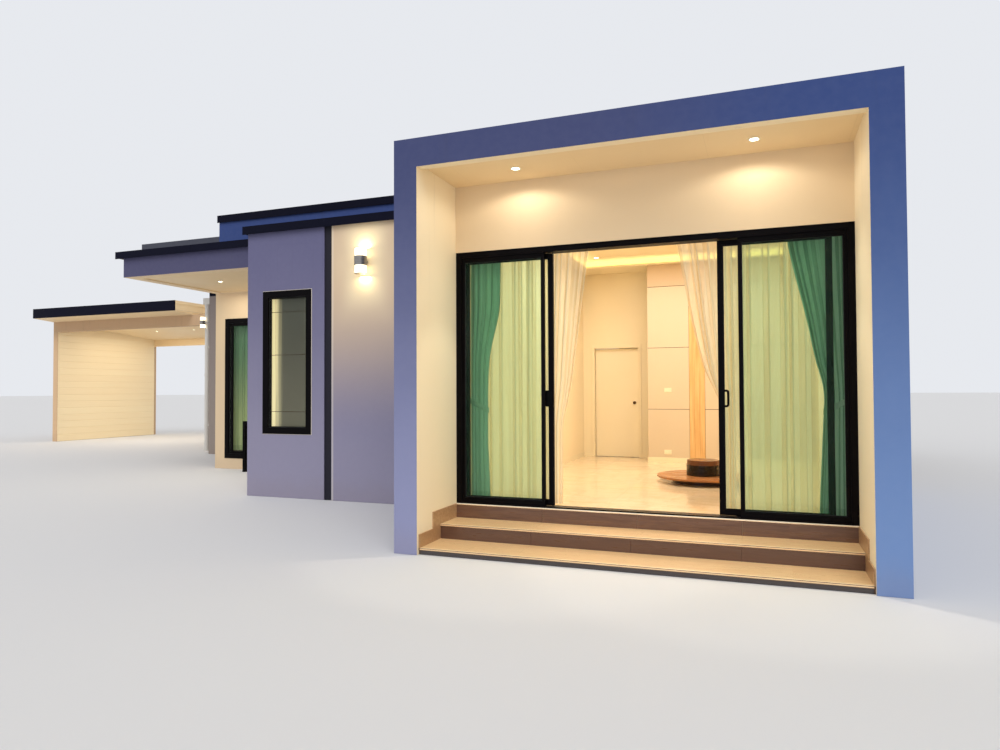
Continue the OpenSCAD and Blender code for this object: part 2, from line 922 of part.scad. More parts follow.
// Outline of a curtain that hangs from x0 and is tied back to the side: head, waist and foot widths
module tied_outline(head, waist, foot) {
    bow = (head - waist) * 0.22;
    polygon([[0, curtain_foot], [foot, curtain_foot], [waist, waist_z - 250], [waist, waist_z + 150],
        [waist + bow, waist_z + 640], [head - bow, waist_z + 1500], [head, curtain_top], [0, curtain_top]]);
}

// A curtain at the left and one at the right of the doors, of thickness t in front of y.
// The widths at the head, the waist and the foot are pairs, left and right.
module tied_pair(y, t, head, waist, foot) {
    for (side = [0, 1])
        translate([side == 0 ? frame_left + curtain_side : frame_right - curtain_side, y + t, 0])
            mirror([side, 0, 0]) rotate([90, 0, 0])
                linear_extrude(height = t) tied_outline(head[side], waist[side], foot[side]);
}

module tied_drapes() {
    color("mediumseagreen") placed()
        tied_pair(drape_y, drape_t, [drape_head, drape_head_right], [drape_waist, drape_waist],
            [drape_foot, drape_foot]);
}

module sheer_curtains() {
    color("snow") placed()
        tied_pair(sheer_y, sheer_t, [sheer_track - sheer_open, sheer_track - sheer_open_right],
            [sheer_waist, sheer_waist_right], [sheer_waist, sheer_waist_right]);
}

porch_curtain_t = drape_t + 20;
porch_curtain_past = 60;
porch_curtain_over = 150;

module porch_curtain() {
    color("mediumseagreen") placed()
        block([porch_left + wall_t + curtain_side * 2, porch_in + joint, curtain_foot],
            [porch_left + porch_window_x + porch_window_w + porch_curtain_past,
                porch_in + joint + porch_curtain_t, head_z + porch_curtain_over]);
}

// The fittings

lamp_collar_share = 0.18;
lamp_tube_share = 0.9;
lamp_disc_share = 0.96;
lamp_arm_share = 0.3;
lamp_disc_t = 8;

// Cylinder lamp of height h: a glass tube with a metal collar and a disc at both ends, on a round arm
module wall_lamp(stand, d, h, z) {
    r = d / 2;
    tube = r * lamp_tube_share;
    disc = r * lamp_disc_share;
    half = [[0, 0], [r, 0], [r, h * lamp_collar_share], [tube, h * lamp_collar_share],
        [tube, h / 2 - lamp_disc_t], [disc, h / 2 - lamp_disc_t], [disc, h / 2], [0, h / 2]];
    translate([0, -stand, z]) {
        rotate_extrude() polygon(half);
        rotate_extrude() polygon([for (p = half) [p.x, -p.y]]);
    }
    translate([0, 0, z]) rotate([90, 0, 0]) cylinder(d = d * lamp_arm_share, h = stand);
}

lamp_stand = lamp_d / 2 + 30;
rear_lamp_d = 130;
rear_lamp_stand = 240;
rear_lamp_z = lamp_z - 40;
rear_lamp_y = rear_wing_set + 25;

module wall_lamps() {
    color("silver") placed() {
        translate([wing_left + lamp_x, wing_set, 0]) wall_lamp(lamp_stand, lamp_d, lamp_h, lamp_z);
        translate([rear_left, rear_lamp_y, 0]) rotate([0, 0, -90])
            wall_lamp(rear_lamp_stand, rear_lamp_d, rear_lamp_h, rear_lamp_z);
    }
}

// Round recessed light whose trim ring stands 8 under the ceiling at z
module downlight(x, y, z) {
    r = downlight_d / 2;
    translate([x, y, z])
        rotate_extrude()
            polygon([[0, -4], [r * 0.72, -4], [r * 0.78, -8], [r * 0.94, -8], [r, -5], [r, 0], [0, 0]]);
}

portal_light_side = 830;
portal_light_share = 0.57;
porch_light_x = 1190;
porch_light_y = 1055;
room_light_x = 500;
room_light_y = 4475;

module downlights() {
    color("white") placed() {
        for (x = [room_left + portal_light_side, room_right - portal_light_side])
            downlight(x, recess_d * portal_light_share, soffit_z);
        downlight(porch_left + porch_light_x, canopy_set + porch_light_y, canopy_z + soffit_lift);
        downlight(room_left + room_light_x, room_front + room_light_y, ceiling_z + tray_rise);
    }
}

pipe_collar_d = pipe_d + 14;
pipe_collar_h = 60;
pipe_foot = 60;

// Round downpipe with its collars and brackets under a square head, close behind the rear lamp
module rainwater_pipe() {
    x = rear_left - pipe_d / 2 - pipe_gap;
    y = rear_lamp_y + (rear_lamp_d + pipe_collar_d + 1) / 2;
    head_foot = portal_h - 180;
    color("white") placed() {
        translate([x, y, pipe_foot]) cylinder(d = pipe_d, h = head_foot - pipe_foot);
        for (z = [pipe_foot, 1980, head_foot - pipe_collar_h])
            translate([x, y, z]) cylinder(d = pipe_collar_d, h = pipe_collar_h);
        block([x - 85, y - 60, head_foot], [rear_left, y + 100, portal_h - 20]);
        for (z = [700, 2700]) {
            translate([x, y, z]) cylinder(d = pipe_d + 8, h = 40);
            block([x, y - 20, z], [rear_left, y + 20, z + 40]);
        }
    }
}

// The carport

// Roof body with a level top and an underside that falls to the rear, lowered by drop
module roof_profile(y0, y1, drop = 0) {
    fall = (carport_top - carport_fascia - carport_rear_z) / carport_d;
    z0 = carport_top - carport_fascia - fall * (y0 - carport_set) - drop;
    z1 = carport_top - carport_fascia - fall * (y1 - carport_set) - drop;
    polygon([[y0, z0], [y0, carport_top], [y1, carport_top], [y1, z1]]);
}

fascia_t = 30;

module carport_roof() {
    color("wheat") placed() {
        along_x(carport_left, carport_right) roof_profile(carport_set + fascia_t, carport_rear);
        along_x(carport_right, rear_left) roof_profile(carport_set + link_set, carport_rear);
    }
}

module carport_fascia() {
    color("midnightblue") placed()
        block([carport_left, carport_set, carport_top - carport_fascia],
            [carport_right, carport_set + fascia_t, carport_top]);
}

// Post and beam, with the beam's top cut to the fall of the roof
module carport_frame() {
    color("tan") placed() {
        block([carport_left, beam_y, 0], [carport_left + post_t, beam_y + post_t, beam_z]);
        along_x(carport_left, rear_left)
            difference() {
                translate([beam_y, beam_z]) square([post_t, carport_top - beam_z]);
                roof_profile(carport_set, carport_rear + 1, joint);
            }
    }
}

module carport_boarded_wall() {
    color("moccasin") placed()
        along_x(carport_left + post_t - boarded_t, carport_left + post_t)
            difference() {
                translate([beam_y + post_t, 0])
                    square([carport_rear - beam_y - post_t, carport_top]);
                roof_profile(carport_set, carport_rear + 1, joint);
            }
}

module carport_lintel() {
    color("wheat") placed()
        along_x(carport_left + post_t, rear_left)
            difference() {
                translate([boarded_rear, carport_rear_z - lintel_h])
                    square([boarded_t, lintel_h + 200]);
                roof_profile(carport_set, carport_rear + 1, joint);
            }
}

portal_left_wall();
portal_right_wall();
portal_roof();
portal_soffit();
door_header_wall();
door_frame();
fixed_leaves();
fixed_glass();
sliding_leaf_left();
sliding_glass_left();
pull_handle_left();
sliding_leaf_right();
sliding_glass_right();
pull_handle_right();
lower_step();
upper_step();
step_skirting();
floor_slab();
wing_front_wall();
groove_strip();
wing_left_wall();
wing_roof();
wing_cap();
window_frames();
window_glass();
porch_wall();
porch_canopy();
canopy_soffit();
canopy_cap();
porch_rail();
main_left_wall();
rear_wing_front_wall();
rear_wing_left_wall();
rear_wall();
right_side_wall();
parapet_wall();
parapet_cap();
roof_band();
main_roof();
partition_left();
partition_right();
partition_over_door();
inner_door();
feature_wall();
wood_strip();
room_ceiling();
low_table();
tied_drapes();
sheer_curtains();
porch_curtain();
wall_lamps();
downlights();
rainwater_pipe();
carport_roof();
carport_fascia();
carport_frame();
carport_boarded_wall();
carport_lintel();
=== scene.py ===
import math
import bpy
import numpy as np
from mathutils import Matrix, Vector


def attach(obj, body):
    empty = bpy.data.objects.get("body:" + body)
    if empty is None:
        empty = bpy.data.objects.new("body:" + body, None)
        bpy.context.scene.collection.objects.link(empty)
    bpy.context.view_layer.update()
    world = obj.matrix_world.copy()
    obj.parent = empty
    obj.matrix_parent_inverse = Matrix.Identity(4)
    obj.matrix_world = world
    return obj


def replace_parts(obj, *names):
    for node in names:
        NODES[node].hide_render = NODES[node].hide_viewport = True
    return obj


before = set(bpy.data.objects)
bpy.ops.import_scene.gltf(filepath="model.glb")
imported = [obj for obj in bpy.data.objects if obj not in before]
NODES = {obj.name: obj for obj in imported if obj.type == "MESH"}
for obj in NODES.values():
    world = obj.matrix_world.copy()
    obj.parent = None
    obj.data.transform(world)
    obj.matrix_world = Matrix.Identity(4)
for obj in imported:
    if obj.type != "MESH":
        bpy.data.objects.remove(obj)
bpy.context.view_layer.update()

# Places and sizes are in the house's own millimetres: X from the portal's left outer face, Y back from the
# portal's front, Z up from the ground. Only the finishes, the cloths' flat sizes, the lamps' sizes, the pale
# floor and the camera use metres. The shared frame's origin lies at this point of the house's frame.
ORIGIN = np.array([-6717.5, 7150.0, 0.0])
# Inner faces of the portal's side walls and of the room's rear, the room's floor and ceiling, the rectangle
# of the ceiling's inset, and the middle between the side walls
ROOM_LEFT, ROOM_RIGHT, ROOM_REAR = 245.0, 4125.0, 6680.0
FLOOR, CEILING = 347.0, 3700.0
INSET = ((480.0, 1915.0), (3890.0, 5950.0))
MIDDLE_X = 2185.0
# Middles of the two wall lamps, and of the two lamps in the portal's ceiling
WING_LAMP, REAR_LAMP = (-1903.0, 2457.0, 3388.0), (-10040.0, 8025.0, 3348.0)
RECESS_LAMPS_X, RECESS_LAMP = (1075, 3295), (521.6, 3763)


def frame_x(x):
    """The X of the shared frame, in metres, at a house X."""
    return float((x - ORIGIN[0]) / 1000.0)


def frame_y(y):
    """The Y of the shared frame, in metres, at a house Y."""
    return float((y - ORIGIN[1]) / 1000.0)


# Forms

def quads(nu, nv, round_u=False, round_v=False):
    """Faces of a grid of nu by nv points, numbered row by row: the points (i, j), (i+1, j), (i+1, j+1)
    and (i, j+1) make one face. A round direction joins its last row to its first."""
    i = np.arange(nu if round_u else nu - 1)[:, None]
    j = np.arange(nv if round_v else nv - 1)[None, :]
    i2, j2 = (i + 1) % nu, (j + 1) % nv
    corners = [i * nv + j, i2 * nv + j, i2 * nv + j2, i * nv + j2]
    return np.stack(np.broadcast_arrays(*corners), axis=-1).reshape(-1, 4)


class Form:
    """Points and faces of one piece, gathered in house millimetres and made into one mesh by build()."""

    def __init__(self):
        self.points, self.faces, self.finish, self.uv, self.count = [], [], [], [], 0

    def add(self, points, faces, finish=0, uv=None):
        points = np.asarray(points, dtype=float).reshape(-1, 3)
        self.points.append(points)
        for group in faces if isinstance(faces, list) else [faces]:
            self.faces += (np.asarray(group) + self.count).tolist()
            self.finish += [finish] * len(group)
        self.uv.append(np.zeros((len(points), 2)) if uv is None else np.asarray(uv).reshape(-1, 2))
        self.count += len(points)

    def build(self, name, finishes, body="house", slot=None, sharp=0.6, flip=False):
        """The piece: house millimetres less the origin, over a thousand, with edges sharper than `sharp`
        kept. Its finishes are named in one text, and `slot` is not used."""
        mesh = bpy.data.meshes.new(name)
        points = (np.concatenate(self.points) - ORIGIN) / 1000.0
        faces = [f[::-1] for f in self.faces] if flip else self.faces
        mesh.from_pydata(points.tolist(), [], faces)
        for finish in finishes.split():
            mesh.materials.append(FINISH[finish])
        mesh.polygons.foreach_set("material_index", np.array(self.finish, dtype=np.int32))
        layer = mesh.uv_layers.new(name="cut")
        loops = np.empty(len(mesh.loops), dtype=np.int32)
        mesh.loops.foreach_get("vertex_index", loops)
        layer.data.foreach_set("uv", np.concatenate(self.uv)[loops].astype(np.float32).ravel())
        mesh.polygons.foreach_set("use_smooth", np.ones(len(mesh.polygons), dtype=bool))
        mesh.set_sharp_from_angle(angle=sharp)
        mesh.validate()
        made = bpy.data.objects.new(name, mesh)
        bpy.context.scene.collection.objects.link(made)
        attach(made, body)
        return made


# The signs of a box's eight corners. A box with eased edges has 24 points: each corner gives one on each of
# its three faces.
SIGNS = np.array([[x, y, z] for x in (-1, 1) for y in (-1, 1) for z in (-1, 1)], dtype=float)


def eased_faces():
    """Faces of the eased box: six flats, a slope along each of twelve edges and a facet at each of eight
    corners. A face is turned round where its normal points at the middle."""
    point = np.concatenate([[s * (1 - 0.2 * (1 - np.eye(3)[k])) for k in range(3)] for s in SIGNS])
    flats, slopes = [], []
    for k in range(3):
        a, b = [m for m in range(3) if m != k]
        for s in (-1, 1):
            ring = sorted((n for n in range(8) if SIGNS[n, k] == s),
                          key=lambda n: math.atan2(SIGNS[n, b], SIGNS[n, a]))
            flats.append([3 * n + k for n in ring])
        for sa in (-1, 1):
            for sb in (-1, 1):
                low, high = [n for n in range(8) if SIGNS[n, a] == sa and SIGNS[n, b] == sb]
                slopes.append([3 * low + a, 3 * low + b, 3 * high + b, 3 * high + a])
    facets = [[3 * n, 3 * n + 1, 3 * n + 2] for n in range(8)]

    def outward(face):
        p = point[face]
        normal = np.cross(p[1] - p[0], p[2] - p[0])
        return face if normal @ p.mean(axis=0) > 0 else face[::-1]

    return np.array([outward(f) for f in flats + slopes]), np.array([outward(f) for f in facets])


EASED = eased_faces()


def eased(lo, hi, ease=1.0):
    """Boxes with eased edges: each corner's three points are the corner moved in by `ease` along the two
    axes that the point's own face doesn't face."""
    lo, hi = np.atleast_2d(np.asarray(lo, dtype=float)), np.atleast_2d(np.asarray(hi, dtype=float))
    middle, half = (lo + hi)[:, None, None] / 2, (hi - lo)[:, None, None] / 2
    drawn = np.minimum(ease, 0.9 * half.min(axis=-1, keepdims=True)) * (1 - np.eye(3))[None, None]
    points = middle + SIGNS[None, :, None] * (half - drawn)
    step = 24 * np.arange(len(lo))[:, None, None]
    return points.reshape(-1, 3), [(part[None] + step).reshape(-1, part.shape[1]) for part in EASED]


def tiled(xs, ys, zs, count, gap):
    """Low and high corners of equal blocks that fill a box: it is cut into count parts along each axis,
    and each part gives up half a gap at every cut."""
    lows, highs = [], []
    for (a, b), n, g in zip((xs, ys, zs), count, gap):
        edge = np.linspace(a, b, n + 1)
        inside = (np.arange(n + 1) > 0) & (np.arange(n + 1) < n)
        lows.append((edge + inside * g / 2)[:-1])
        highs.append((edge - inside * g / 2)[1:])
    lo = np.stack(np.meshgrid(*lows, indexing="ij"), axis=-1).reshape(-1, 3)
    hi = np.stack(np.meshgrid(*highs, indexing="ij"), axis=-1).reshape(-1, 3)
    return lo, hi


def outlined(profile):
    """A closed profile's points in the turning sense of a positive area."""
    profile = np.asarray(profile, dtype=float)
    x, y = profile.T
    return profile if np.sum(x * np.roll(y, -1) - np.roll(x, -1) * y) >= 0 else profile[::-1]


def bar(profile, a, b, axis=0):
    """A closed profile carried straight along an axis from a to b: the profile's two numbers are the other
    two axes in turn, and each end is closed by one face."""
    profile = outlined(profile)
    if axis == 1:
        profile = profile[::-1]
    n = len(profile)
    points = np.zeros((2, n, 3))
    points[..., [m for m in range(3) if m != axis]] = profile
    points[0, :, axis], points[1, :, axis] = a, b
    side = quads(2, n, round_v=True)
    ends = [np.arange(n)[::-1][None], np.arange(n, 2 * n)[None]]
    return points.reshape(-1, 3), [side[:, ::-1]] + ends


def framed(lo, hi, profile, level, axis=1):
    """A moulding round a rectangle with mitred corners: a corner point is the rectangle's corner moved in
    by the profile's first number along both sides, and raised by its second number along the axis."""
    profile = outlined(profile)
    lo, hi = np.asarray(lo, dtype=float), np.asarray(hi, dtype=float)
    a, b = [m for m in range(3) if m != axis]
    turn = np.array([[-1, -1], [1, -1], [1, 1], [-1, 1]], dtype=float)
    if axis == 1:
        turn = turn[::-1]
    points = np.zeros((4, len(profile), 3))
    for k, m in enumerate((a, b)):
        middle, half = (lo[k] + hi[k]) / 2, (hi[k] - lo[k]) / 2
        points[..., m] = middle + turn[:, None, k] * (half - profile[None, :, 0])
    points[..., axis] = level + profile[None, :, 1]
    return points.reshape(-1, 3), quads(4, len(profile), True, True)[:, ::-1]


def turned(profile, place, axis=2, sides=48):
    """A profile of radius and height turned round an axis: point = place + radius times (cos t, sin t) across
    the axis + height along it. Where the profile starts or ends on the axis, all its points meet there, and a
    profile clear of the axis is closed to a ring."""
    profile = np.asarray(profile, dtype=float)
    t = np.linspace(0, 2 * np.pi, sides, endpoint=False)[:, None]
    a, b = [(axis + 1) % 3, (axis + 2) % 3]
    points = np.zeros((sides, len(profile), 3))
    points[..., a] = profile[None, :, 0] * np.cos(t)
    points[..., b] = profile[None, :, 0] * np.sin(t)
    points[..., axis] = profile[None, :, 1]
    flat = (points + np.asarray(place, dtype=float)).reshape(-1, 3)
    n, merge = len(profile), np.arange(len(flat))
    poles = [j for j in (0, n - 1) if profile[j, 0] < 1e-9]
    for j in poles:
        merge[np.arange(sides) * n + j] = j
    faces = merge[quads(sides, n, round_u=True, round_v=not poles)]
    used, faces = np.unique(faces, return_inverse=True)
    rows = [[p for k, p in enumerate(f) if p != f[k - 1]] for f in faces.reshape(-1, 4).tolist()]
    groups = [[f for f in rows if len(f) == corners] for corners in (4, 3)]
    return flat[used], [np.array(group) for group in groups if group]


def rounded(w, d, r, steps=5):
    """Outline of a w by d rectangle with corners of radius r, as points round it."""
    t = np.linspace(0, np.pi / 2, steps)
    arc = np.stack([np.cos(t), np.sin(t)], axis=1) * r
    corner, quarter = np.array([w / 2 - r, d / 2 - r]), np.array([[0, -1], [1, 0]])
    turns = [np.linalg.matrix_power(quarter, k) for k in range(4)]
    signs = ((1, 1), (-1, 1), (-1, -1), (1, -1))
    return np.concatenate([corner * sign + arc @ turn.T for sign, turn in zip(signs, turns)])


def swept(path, outline, up, closed=False):
    """An outline carried along a path: point = path point + outline's first number times the side + second
    times up, where the side is the path's direction crossed with up."""
    path, up = np.asarray(path, dtype=float), np.asarray(up, dtype=float)
    ahead = np.roll(path, -1, axis=0) - np.roll(path, 1, axis=0)
    if not closed:
        ahead[0], ahead[-1] = path[1] - path[0], path[-1] - path[-2]
    ahead /= np.linalg.norm(ahead, axis=1, keepdims=True)
    side = np.cross(ahead, up)
    side /= np.linalg.norm(side, axis=1, keepdims=True)
    points = path[:, None] + outline[None, :, :1] * side[:, None] + outline[None, :, 1:] * up[None, None]
    n = len(outline)
    faces = [quads(len(path), n, round_u=closed, round_v=True)]
    if not closed:
        faces += [np.arange(n)[None], np.arange(len(path) * n - n, len(path) * n)[::-1][None]]
    return points.reshape(-1, 3), faces


# Finishes

def tone(colour):
    """A screen colour's three steps of 255 as the linear numbers that shaders use. Anything else stays."""
    if not isinstance(colour, tuple) or len(colour) != 3:
        return colour
    c = np.array(colour) / 255.0
    return tuple(float(v) for v in np.where(c <= 0.04045, c / 12.92, ((c + 0.055) / 1.055) ** 2.4)) + (1.0,)


BLACK = (0.0, 0.0, 0.0, 1.0)
FINISH = {}


class Value:
    """One output of a finish's nodes, on which sums are written as on a number."""

    def __init__(self, finish, socket):
        self.finish, self.socket = finish, socket

    def sum(self, operation, *parts):
        return self.finish.node("ShaderNodeMath", {"operation": operation}, dict(enumerate(parts)))

    def __add__(self, other):
        return self.sum("ADD", self, other)

    def __sub__(self, other):
        return self.sum("SUBTRACT", self, other)

    def __rsub__(self, other):
        return self.sum("SUBTRACT", other, self)

    def __mul__(self, other):
        return self.sum("MULTIPLY", self, other)

    def __truediv__(self, other):
        return self.sum("DIVIDE", self, other)

    __radd__, __rmul__ = __add__, __mul__

    def __abs__(self):
        return self.sum("ABSOLUTE", self)

    def __pow__(self, other):
        return self.sum("POWER", self, other)

    def over(self, level):
        return self.sum("GREATER_THAN", self, level)

    def rest(self):
        return self.sum("FRACT", self)

    def wave(self):
        return self.sum("SINE", self)

    def rise(self, low, high, start=0.0, end=1.0):
        """Goes smoothly from start to end as the value goes from low to high."""
        return self.finish.node("ShaderNodeMapRange", {"interpolation_type": "SMOOTHSTEP"},
                                {0: self, 1: low, 2: high, 3: start, 4: end})

    def fall(self, low, high):
        """Goes smoothly from 1 to 0 as the value goes from low to high."""
        return self.rise(low, high, 1.0, 0.0)

    def at(self, place, soft):
        """0 below the place and 1 above it, with a change that reaches soft to both sides."""
        return self.rise(place - soft, place + soft)

    def under(self, place, soft):
        """1 below the place and 0 above it."""
        return self.fall(place - soft, place + soft)

    def line(self, pitch, width, shift=0.0):
        """1 on lines of that width, one each pitch, and 0 between them."""
        away = abs(((self + shift) / pitch + 0.5).rest() - 0.5) * pitch
        return away.fall(width * 0.5, width * 0.8)


class Finish:
    """A material in the making: its nodes, its object coordinates and what feeds the shader."""

    def __init__(self, name, colour, **plain):
        self.name, self.material = name, bpy.data.materials.new(name)
        self.material.use_nodes = True
        self.tree = self.material.node_tree
        self.shader = self.tree.nodes["Principled BSDF"]
        self.shader.inputs["Base Color"].default_value = tone(colour)
        for key, value in plain.items():
            self.shader.inputs[key.replace("_", " ").title().replace("Ior", "IOR")].default_value = value
        self.spot = None

    def node(self, kind, settings=None, sockets=None, give=0):
        """A node of any type: its settings first, with a ramp's stops, then its sockets' values or links."""
        made = self.tree.nodes.new(kind)
        for key, value in (settings or {}).items():
            if key == "stops":
                ramp = made.color_ramp.elements
                while len(ramp) < len(value):
                    ramp.new(0.5)
                for stop, (position, colour) in zip(ramp, value):
                    stop.position, stop.color = position, colour
            else:
                setattr(made, key, value)
        for key, value in (sockets or {}).items():
            if isinstance(value, Value):
                self.tree.links.new(value.socket, made.inputs[key])
            else:
                made.inputs[key].default_value = value
        return Value(self, made.outputs[give])

    def place(self):
        if self.spot is None:
            self.spot = self.node("ShaderNodeTexCoord", give="Object")
        return self.spot

    def axes(self, vector=None):
        """The three coordinates one by one, in metres."""
        made = self.node("ShaderNodeSeparateXYZ", sockets={0: vector or self.place()})
        return made, Value(self, made.socket.node.outputs[1]), Value(self, made.socket.node.outputs[2])

    def facing(self):
        """The three parts of the surface's own normal."""
        return self.axes(self.node("ShaderNodeNewGeometry", give="Normal"))

    def weave_map(self):
        """The piece's own cut of cloth, in metres across and along."""
        return self.axes(self.node("ShaderNodeUVMap", {"uv_map": "cut"}))

    def stretched(self, x, y, z):
        return self.node("ShaderNodeVectorMath", {"operation": "MULTIPLY"}, {0: self.place(), 1: (x, y, z)})

    def joined(self, x, y, z=0.0):
        return self.node("ShaderNodeCombineXYZ", sockets={0: x, 1: y, 2: z})

    def noise(self, scale, detail=3.0, rough=0.5, vector=None):
        sockets = {"Vector": vector or self.place(), "Scale": scale, "Detail": detail, "Roughness": rough}
        return self.node("ShaderNodeTexNoise", None, sockets)

    def chance(self, vector):
        """A number from 0 to 1 for each whole cell of a vector."""
        whole = self.node("ShaderNodeVectorMath", {"operation": "FLOOR"}, {0: vector})
        return self.node("ShaderNodeTexWhiteNoise", {"noise_dimensions": "3D"}, {"Vector": whole})

    def mix(self, share, a, b):
        """Colour a, and b where the share is 1."""
        return self.node("ShaderNodeMix", {"data_type": "RGBA"}, {0: share, 6: tone(a), 7: tone(b)}, give=2)

    def ramp(self, value, *stops):
        stops = [(position, tone(colour)) for position, colour in stops]
        return self.node("ShaderNodeValToRGB", {"stops": stops}, {0: value})

    def bump(self, height, strength, depth):
        return self.node("ShaderNodeBump", None, {"Strength": strength, "Distance": depth, "Height": height})

    def coat(self, colour, rough, height, strength, depth):
        """Feeds a colour, a roughness and a bump from a height, with the bump's strength and depth."""
        self.feed(base_color=colour, roughness=rough, normal=self.bump(height, strength, depth))

    def pane(self, share, clear, **sockets):
        """Makes a finish of glass: light passes in the colour `clear`, and the surface shows by the share."""
        self.feed(**sockets)
        through = self.node("ShaderNodeBsdfTransparent", None, {0: clear})
        surface = Value(self, self.shader.outputs[0])
        both = self.node("ShaderNodeMixShader", None, {0: share, 1: through, 2: surface})
        self.tree.links.new(both.socket, self.tree.nodes["Material Output"].inputs[0])

    def feed(self, **sockets):
        """Links values to the shader's sockets, and enters the finished material in FINISH."""
        for key, value in sockets.items():
            self.tree.links.new(value.socket, self.shader.inputs[key.replace("_", " ").title()])
        FINISH[self.name] = self.material


# In every finish below, a colour of three numbers is a screen colour in steps of 255.

def wall_render(name, low, high, inner=None, within=None, foot=0.05, top=4.0, right=None, pool=None,
                rain=0.16, deck=None):
    """Trowelled and painted wall render: the colour goes from low at the ground to high at the top and to
    `right` across the front, broken by broad soft clouds, rain streaks under the top and dust at the foot.
    In the portal and the wing the change from low to high is painted shade, darker towards the top, and in
    the portal the colours towards `right` are painted light. `inner` colours the faces for which within()
    gives 1, `deck` those that face up, and pool() paints the warm light of a lamp over it; in frame_render
    `inner` is painted light. Both functions get the finish and its three coordinates. The bump is sand grain
    over trowel waves."""
    f = Finish(name, low, roughness=0.82)
    x, y, z = f.axes()
    clouds = f.noise(0.9, 4.0, 0.55)
    # in portal_render and wing_render this change from low to high is painted shade, darker towards the top
    climb = (z + (clouds - 0.5) * 0.7).rise(0.1, top)
    colour = f.mix(climb, low, high)
    # in portal_render the colours towards `right` are painted light
    if right is not None:
        colour = f.mix((x + (clouds - 0.5) * 0.6).rise(right[0], right[1]), colour,
                       f.mix(climb, right[2], right[3]))
    # in frame_render the inner colours are painted light on the carport post's front
    if inner is not None:
        inner_paint_and_light = f.mix(f.noise(0.8, 3.0), inner[0], inner[1])
        colour = f.mix(within(f, x, y, z), colour, inner_paint_and_light)
    streak = f.noise(1.0, 5.0, 0.6, f.stretched(9.0, 9.0, 0.35)).rise(0.56, 0.78)
    colour = f.mix(streak * z.rise(top * 0.45, top) * rain, colour, (60, 60, 72))
    dust = (z + (f.noise(5.0, 4.0) - 0.5) * 0.25).fall(foot, foot + 0.35)
    colour = f.mix(dust * 0.14, colour, (150, 132, 116))
    if pool is not None:
        colour = pool(f, x, y, z, colour)
    if deck is not None:
        colour = f.mix(f.facing()[2].rise(0.7, 0.9), colour, f.mix(clouds, deck[0], deck[1]))
    sand = f.noise(240.0, 3.0, 0.65)
    trowel = f.noise(6.0, 4.0, 0.5, f.stretched(1.0, 1.0, 1.6))
    normal = f.bump(sand * 0.35 + trowel, 0.35, 0.004)
    f.feed(base_color=colour, normal=normal, roughness=f.noise(14.0, 3.0).rise(0.2, 0.8, 0.74, 0.9))


def inside_portal(f, x, y, z):
    """1 between the jambs' inner faces, behind the front plane and under the roof's top."""
    across, half, front = abs(x - frame_x(MIDDLE_X)), (ROOM_RIGHT - ROOM_LEFT) / 2000, frame_y(0)
    return across.under(half + 0.001, 0.0005) * y.at(front + 0.0007, 0.0003) * z.under(3.9925, 0.0025)


def lamp_pool(f, x, y, z, colour):
    """The wash of the wing's lamp on the strip of wall between the groove and the portal, brightest in a
    fan above and under the lamp, with a pale corner bead at the strip's left edge."""
    edge = frame_x(-2462)
    strip = x.at(edge, 0.0015) * y.under(frame_y(2655), 0.005)
    dx, dz = x - frame_x(WING_LAMP[0]), z - WING_LAMP[2] / 1000
    wash = z.rise(0.9, 3.3) * abs(dx).rise(0.5, 2.3, 1.0, 0.72)
    colour = f.mix(wash * strip * 0.94, colour, (232, 205, 170))
    fan = (abs(dx) - abs(dz) * 0.42).fall(-0.06, 0.34) * abs(dz).fall(0.25, 1.15)
    near = ((dx * dx + dz * dz) ** 0.5).fall(0.1, 0.75)
    colour = f.mix((fan * 0.6 + near * 0.5).rise(0.0, 1.0) * strip, colour, (252, 234, 196))
    bead = x.at(edge + 0.004, 0.0025) * x.under(edge + 0.032, 0.0025) * strip
    return f.mix(bead * 0.35, colour, (250, 240, 224))


def under_canopy(f, x, y, z):
    """1 on faces that look down."""
    return f.facing()[2].under(-0.6, 0.1)


def post_front_painted_light(f, x, y, z):
    """1 on the post's front, where frame_render paints light in lighter colours, and 0 on the beam's."""
    return f.facing()[1].under(-0.6, 0.1) * z.under(3.4, 0.2)


def groove_board():
    """Dark board with a fine upright grain."""
    f = Finish("groove_board", (28, 27, 38), roughness=0.6, specular_ior_level=0.25)
    grain = f.noise(1.0, 5.0, 0.6, f.stretched(60.0, 60.0, 2.5))
    colour = f.mix(grain, (24, 23, 34), (38, 36, 48))
    f.coat(colour, grain.rise(0.2, 0.8, 0.5, 0.7), grain, 0.3, 0.002)


def dark_metal():
    """Dark coated metal in soft clouds of shade, with faint scuffs along Y."""
    f = Finish("dark_metal", (14, 15, 34), roughness=0.5, specular_ior_level=0.06)
    cloud = f.noise(1.6, 4.0, 0.6)
    scuff = f.noise(1.0, 6.0, 0.7, f.stretched(40.0, 6.0, 40.0)).rise(0.55, 0.75)
    colour = f.mix(cloud, (8, 9, 24), (20, 21, 40))
    colour = f.mix(scuff * 0.14, colour, (70, 72, 92))
    f.coat(colour, cloud.rise(0.25, 0.75, 0.42, 0.6), f.noise(3.0, 2.0), 0.25, 0.004)


def roof_membrane():
    """Roofing felt: grit over stains, with a dark seam every 1.5 m."""
    f = Finish("roof_membrane", (60, 62, 76), roughness=0.8)
    y = f.axes()[1]
    grit = f.noise(180.0, 3.0, 0.7)
    stain = f.noise(0.7, 5.0, 0.6)
    colour = f.mix(stain, (52, 55, 70), (78, 80, 92))
    colour = f.mix(grit.rise(0.55, 0.75) * 0.3, colour, (104, 104, 112))
    colour = f.mix(y.line(1.5, 0.012), colour, (36, 38, 50))
    f.coat(colour, stain.rise(0.3, 0.7, 0.7, 0.9), grit + stain * 2.0, 0.3, 0.003)


